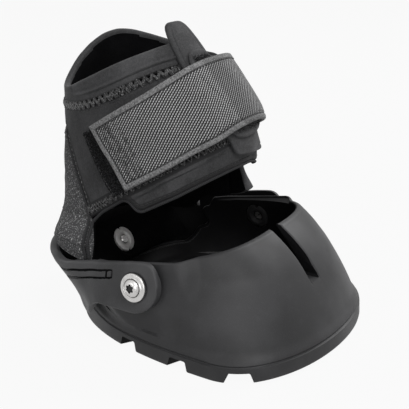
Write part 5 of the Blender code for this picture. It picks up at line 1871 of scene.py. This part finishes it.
def add_stitching():
    """Thread on every seam: heavy zigzags round the gaiter, twin rows at the heel, rows on the strap."""
    kit = finishes()
    sizes = bpy.context.scene.hoof_boot_sizes
    thread = sizes.thread_radius
    both = "gaiter_and_cup"
    angles = np.radians(np.linspace(-127.0, 221.0, 700))
    line = on_gaiter(angles, collar_line(angles) - 1.2 * MM, 0.15 * MM)
    rows = ((1.0, 2.4, 0.0), (1.0, 2.1, 0.7), (1.13, 2.3, 1.5))
    seam_zigzag("collar_zigzag", line, rows, 0.6 * MM, "gaiter")
    top = on_gaiter(angles, collar_line(angles) + 0.9 * MM, 0.1 * MM)
    foot = on_gaiter(angles, collar_line(angles) - 4.1 * MM, -0.1 * MM)
    rows = [running_row(*top, sizes.stitch_pitch), running_row(*foot, sizes.stitch_pitch)]
    stitches("collar_rows", *joined_rows(rows), thread, 0.3 * MM, kit["thread"], "gaiter")

    start = float(near_seam(np.array(70.0 * MM))) + radians(2.0)
    angles = np.linspace(start, wrap_end_angle - radians(1.0), 500)
    line = on_gaiter(angles, band_line(angles), 0.1 * MM)
    seam_zigzag("band_zigzag", line, ((1.0, 2.2, 0.0), (1.1, 2.0, 0.8)), 0.5 * MM, both)
    low = row_on_gaiter(angles, hem_line(angles) + 3.0 * MM, 0.05 * MM, sizes.stitch_pitch)
    stitches("hem_row", *low, thread * 0.8, 0.25 * MM, kit["thread"], both)

    rows = []
    heights = np.linspace(58.0 * MM, heel_top_z - 1.5 * MM, 240)
    for side in (1.0, -1.0):
        for away in (2.2 * MM, 5.0 * MM, -2.4 * MM):
            turn = side * (heel_seam(heights) - away / (46.0 * MM))
            keep = heights > (far_leg_z + 2.0 * MM if side < 0.0 or away < 0.0 else heights[0])
            if away < 0.0 and side > 0.0:
                keep = heights > hem_line(turn) + 2.0 * MM
            rows.append(row_on_gaiter(turn[keep], heights[keep], 0.05 * MM, sizes.stitch_pitch))
    stitches("heel_rows", *joined_rows(rows), thread, 0.35 * MM, kit["zigzag_thread"], both)
    turns = np.linspace(-1.0, 1.0, 200) * radians(68.0)
    heights = heel_cross_seam(turns)
    cross = row_on_gaiter(turns, heights, (flare(turns, heights) + 0.7 * MM)[:, None], sizes.stitch_pitch)
    stitches("heel_cross_row", *cross, thread * 0.8, 0.3 * MM, kit["zigzag_thread"], both)

    inset = strap_border + 0.2 * MM
    along = np.linspace(inset, strap_length - 2.0 * MM, 300)
    across = np.linspace(inset, strap_width - inset, 100)
    edges = [(along, np.full_like(along, inset)), (along, np.full_like(along, strap_width - inset)),
             (np.full_like(across, inset), across)]
    rows = [running_row(*strap_place(*edge, -0.2 * MM), 2.1 * MM) for edge in edges]
    for place in end_row_places:
        line = strap_place(np.full_like(across, place), across, -0.1 * MM)
        rows.append(zigzag_rows(*line, 1.3 * MM, 1.3 * MM))
    border = stitches("strap_rows", *joined_rows(rows), thread, 0.35 * MM, kit["zigzag_thread"], None)
    fold_from, fold_to = fold_ends()
    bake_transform(border)

    shares = np.linspace(0.04, 0.96, 120)
    edge_angles = mix(loop_low_angles[0], loop_high_angles[0], shares) + radians(1.3)
    edge_heights = level_z(edge_angles, mix(strap_low(edge_angles), strap_high(edge_angles), shares))
    edge = row_on_gaiter(edge_angles, edge_heights, loop_lift, 1.9 * MM)
    stitches("loop_edge_row", *edge, thread, 0.3 * MM, kit["zigzag_thread"], "gaiter")


# Stage

def ray_share(made):
    """1 for rays that should see the pale background: the camera's, and those in gloss and glass."""
    path = made.node("ShaderNodeLightPath", output="Is Camera Ray")
    outputs = path.socket.node.outputs
    gloss, glass = (Socket(made, outputs[name]) for name in ("Is Glossy Ray", "Is Transmission Ray"))
    return path.larger(gloss).larger(glass)


def add_floor():
    bm = bmesh.new()
    bmesh.ops.create_grid(bm, x_segments=1, y_segments=1, size=floor_size)
    mesh = bpy.data.meshes.new("studio_floor")
    bm.to_mesh(mesh)
    bm.free()
    floor = linked("studio_floor", mesh)
    made = Finish("Pale studio floor")
    made.surface(floor_grey, 0.9, Specular_IOR_Level=0.1)
    glow = made.node("ShaderNodeEmission", inputs={"Color": white, "Strength": 1.0})
    shares = {0: ray_share(made) * floor_glow, 1: Socket(made, made.shader.outputs[0]), 2: glow}
    both = made.node("ShaderNodeMixShader", inputs=shares)
    made.feed(made.tree.nodes["Material Output"].inputs["Surface"], both)
    mesh.materials.append(made.material)


def add_light(name, place, energy, size):
    data = bpy.data.lights.new(name, "AREA")
    data.shape = "DISK"
    data.energy = energy
    data.size = size
    lamp = linked(name, data)
    lamp.location = place
    lamp.rotation_euler = (light_aim - Vector(place)).to_track_quat("-Z", "Y").to_euler()


def add_world():
    """A white sky that lights the boot only a little."""
    world = bpy.data.worlds.new("Studio")
    world.use_nodes = True
    bpy.context.scene.world = world
    made = Nodes(world.node_tree)
    back = made.tree.nodes["Background"]
    back.inputs["Color"].default_value = white
    made.feed(back.inputs["Strength"], ray_share(made) * (1.0 - sky_level) + sky_level)


def add_camera():
    data = bpy.data.cameras.new("camera")
    data.lens = camera_lens
    data.sensor_width = camera_sensor
    data.clip_start, data.clip_end = 0.01, 50.0
    camera = linked("camera", data)
    a, e = camera_azimuth, camera_elevation
    back = Vector((sin(a) * cos(e), -cos(a) * cos(e), sin(e)))
    camera.location = camera_target + back * camera_distance
    camera.rotation_euler = (pi / 2.0 - e, 0.0, a)
    bpy.context.scene.camera = camera


def add_stage():
    bpy.context.scene.view_settings.view_transform = "Standard"
    add_floor()
    add_world()
    add_camera()
    for light in lights:
        add_light(*light)


# Settings that a user changes

def length_property(label, text, value):
    return FloatProperty(name=label, description=text, default=value, min=0.0, unit="LENGTH")


def colour_property(label, text, value):
    return FloatVectorProperty(name=label, description=text, default=(*value, 1.0), size=4, min=0.0,
                               max=1.0, subtype="COLOR")


class BootSizes(bpy.types.PropertyGroup):
    thread_radius: length_property("Thread radius", "Radius of the sewing thread", 0.26 * MM)
    stitch_pitch: length_property("Stitch pitch", "Distance from one straight stitch to the next", 2.6 * MM)
    zigzag_pitch: length_property("Zigzag pitch", "Distance along the seam between zigzag points", 1.9 * MM)
    tuft_length: length_property("Tuft length", "Length of the fibres in a patch of pile", 1.1 * MM)


class BootColours(bpy.types.PropertyGroup):
    shell: colour_property("Shell", "Moulded rubber of the shell", (0.03, 0.03, 0.0315))
    # Painted shade: dark rubber standing in for the shade inside the shell, its notches and the cup's
    # grooves.
    painted_shade_inside: colour_property("Shell inside", "Painted shade: dark rubber inside the shell and the cup", (0.007, 0.007, 0.0075))
    cup: colour_property("Heel cup", "Moulded rubber of the heel cup", (0.051, 0.051, 0.053))
    steel: colour_property("Steel", "Screws and cup washers", (0.62, 0.61, 0.6))
    # Painted shade: dark steel for the side nuts and the screws' sockets.
    dark_steel: colour_property("Dark steel", "Painted shade: dark steel on the side nuts and in the screws' sockets", (0.012, 0.012, 0.0125))
    neoprene: colour_property("Neoprene", "Smooth gaiter panels", (0.062, 0.062, 0.064))
    stretch: colour_property("Stretch cloth", "Ground of the heel panel", (0.095, 0.095, 0.098))
    fleck: colour_property("Fleck", "Pale flecks in the heel panel", (0.6, 0.6, 0.605))
    # Painted shade in part: the lining's dark tone is drawn near black for the shade inside the gaiter.
    lining: colour_property("Lining", "Inside of the gaiter", (0.005, 0.005, 0.0055))
    pile: colour_property("Pile", "Hook and loop patches", (0.016, 0.016, 0.017))
    webbing: colour_property("Webbing", "Raised floats of the strap", (0.57, 0.57, 0.575))
    webbing_gap: colour_property("Webbing gap", "Dark gaps of the strap", (0.012, 0.012, 0.0125))
    binding: colour_property("Binding", "Bound edges", (0.036, 0.036, 0.0375))
    thread: colour_property("Thread", "Sewing thread", (0.009, 0.009, 0.0095))
    # Painted highlights: pale glints painted on the heavy thread.
    painted_thread_glint: colour_property("Thread glint", "Pale glints of the heavy thread", (0.3, 0.3, 0.305))


class BootOperator:
    """Shared by the operators that add the boot's pieces."""

    bl_options = {"REGISTER", "UNDO"}
    add = None

    def execute(self, context):
        type(self).add()
        return {"FINISHED"}


class AddShell(BootOperator, bpy.types.Operator):
    """Add the moulded shell with its tread, footbed and toe slot"""

    bl_idname = "hoof_boot.add_shell"
    bl_label = "Shell"
    add = staticmethod(add_shell)


class AddFasteners(BootOperator, bpy.types.Operator):
    """Add the screws, cup washers and slotted nuts"""

    bl_idname = "hoof_boot.add_fasteners"
    bl_label = "Fasteners"
    add = staticmethod(add_fasteners)


class AddCup(BootOperator, bpy.types.Operator):
    """Add the swinging heel cup"""

    bl_idname = "hoof_boot.add_cup"
    bl_label = "Heel cup"
    add = staticmethod(add_cup)


class AddPad(BootOperator, bpy.types.Operator):
    """Add the padded lining inside the heel cup"""

    bl_idname = "hoof_boot.add_pad"
    bl_label = "Heel pad"
    add = staticmethod(add_pad)


class AddGaiter(BootOperator, bpy.types.Operator):
    """Add the gaiter's collar, panels and lining"""

    bl_idname = "hoof_boot.add_gaiter"
    bl_label = "Gaiter"
    add = staticmethod(add_gaiter)


class AddTongue(BootOperator, bpy.types.Operator):
    """Add the tongue and its patch of pile"""

    bl_idname = "hoof_boot.add_tongue"
    bl_label = "Tongue"
    add = staticmethod(add_tongue)


class AddStrap(BootOperator, bpy.types.Operator):
    """Add the strap with its hook and loop tapes"""

    bl_idname = "hoof_boot.add_strap"
    bl_label = "Strap"
    add = staticmethod(add_strap)


class AddBindings(BootOperator, bpy.types.Operator):
    """Add the bound hem and the heel seams' cords"""

    bl_idname = "hoof_boot.add_bindings"
    bl_label = "Bindings"
    add = staticmethod(add_bindings)


class AddStitching(BootOperator, bpy.types.Operator):
    """Add the thread of every seam"""

    bl_idname = "hoof_boot.add_stitching"
    bl_label = "Stitching"
    add = staticmethod(add_stitching)


class AddStage(BootOperator, bpy.types.Operator):
    """Add the floor, the lights and the camera"""

    bl_idname = "hoof_boot.add_stage"
    bl_label = "Stage"
    add = staticmethod(add_stage)


steps_in_order = (AddShell, AddFasteners, AddCup, AddPad, AddGaiter, AddTongue, AddStrap, AddBindings,
                  AddStitching, AddStage)


class BootPanel(bpy.types.Panel):
    """Lists the boot's sizes, colours and pieces"""

    bl_idname = "VIEW3D_PT_hoof_boot"
    bl_label = "Hoof Boot"
    bl_space_type = "VIEW_3D"
    bl_region_type = "UI"
    bl_category = "Hoof Boot"

    def draw(self, context):
        for group in (context.scene.hoof_boot_sizes, context.scene.hoof_boot_colours):
            box = self.layout.box()
            for name in group.__annotations__:
                box.prop(group, name)
        for step in steps_in_order:
            self.layout.operator(step.bl_idname)


classes = (BootSizes, BootColours, *steps_in_order, BootPanel)


def register():
    for made in classes:
        bpy.utils.register_class(made)
    bpy.types.Scene.hoof_boot_sizes = PointerProperty(type=BootSizes)
    bpy.types.Scene.hoof_boot_colours = PointerProperty(type=BootColours)


def unregister():
    del bpy.types.Scene.hoof_boot_colours
    del bpy.types.Scene.hoof_boot_sizes
    for made in reversed(classes):
        bpy.utils.unregister_class(made)


def main():
    register()
    for step in steps_in_order:
        group, name = step.bl_idname.split(".")
        getattr(getattr(bpy.ops, group), name)()


if __name__ == "__main__":
    main()
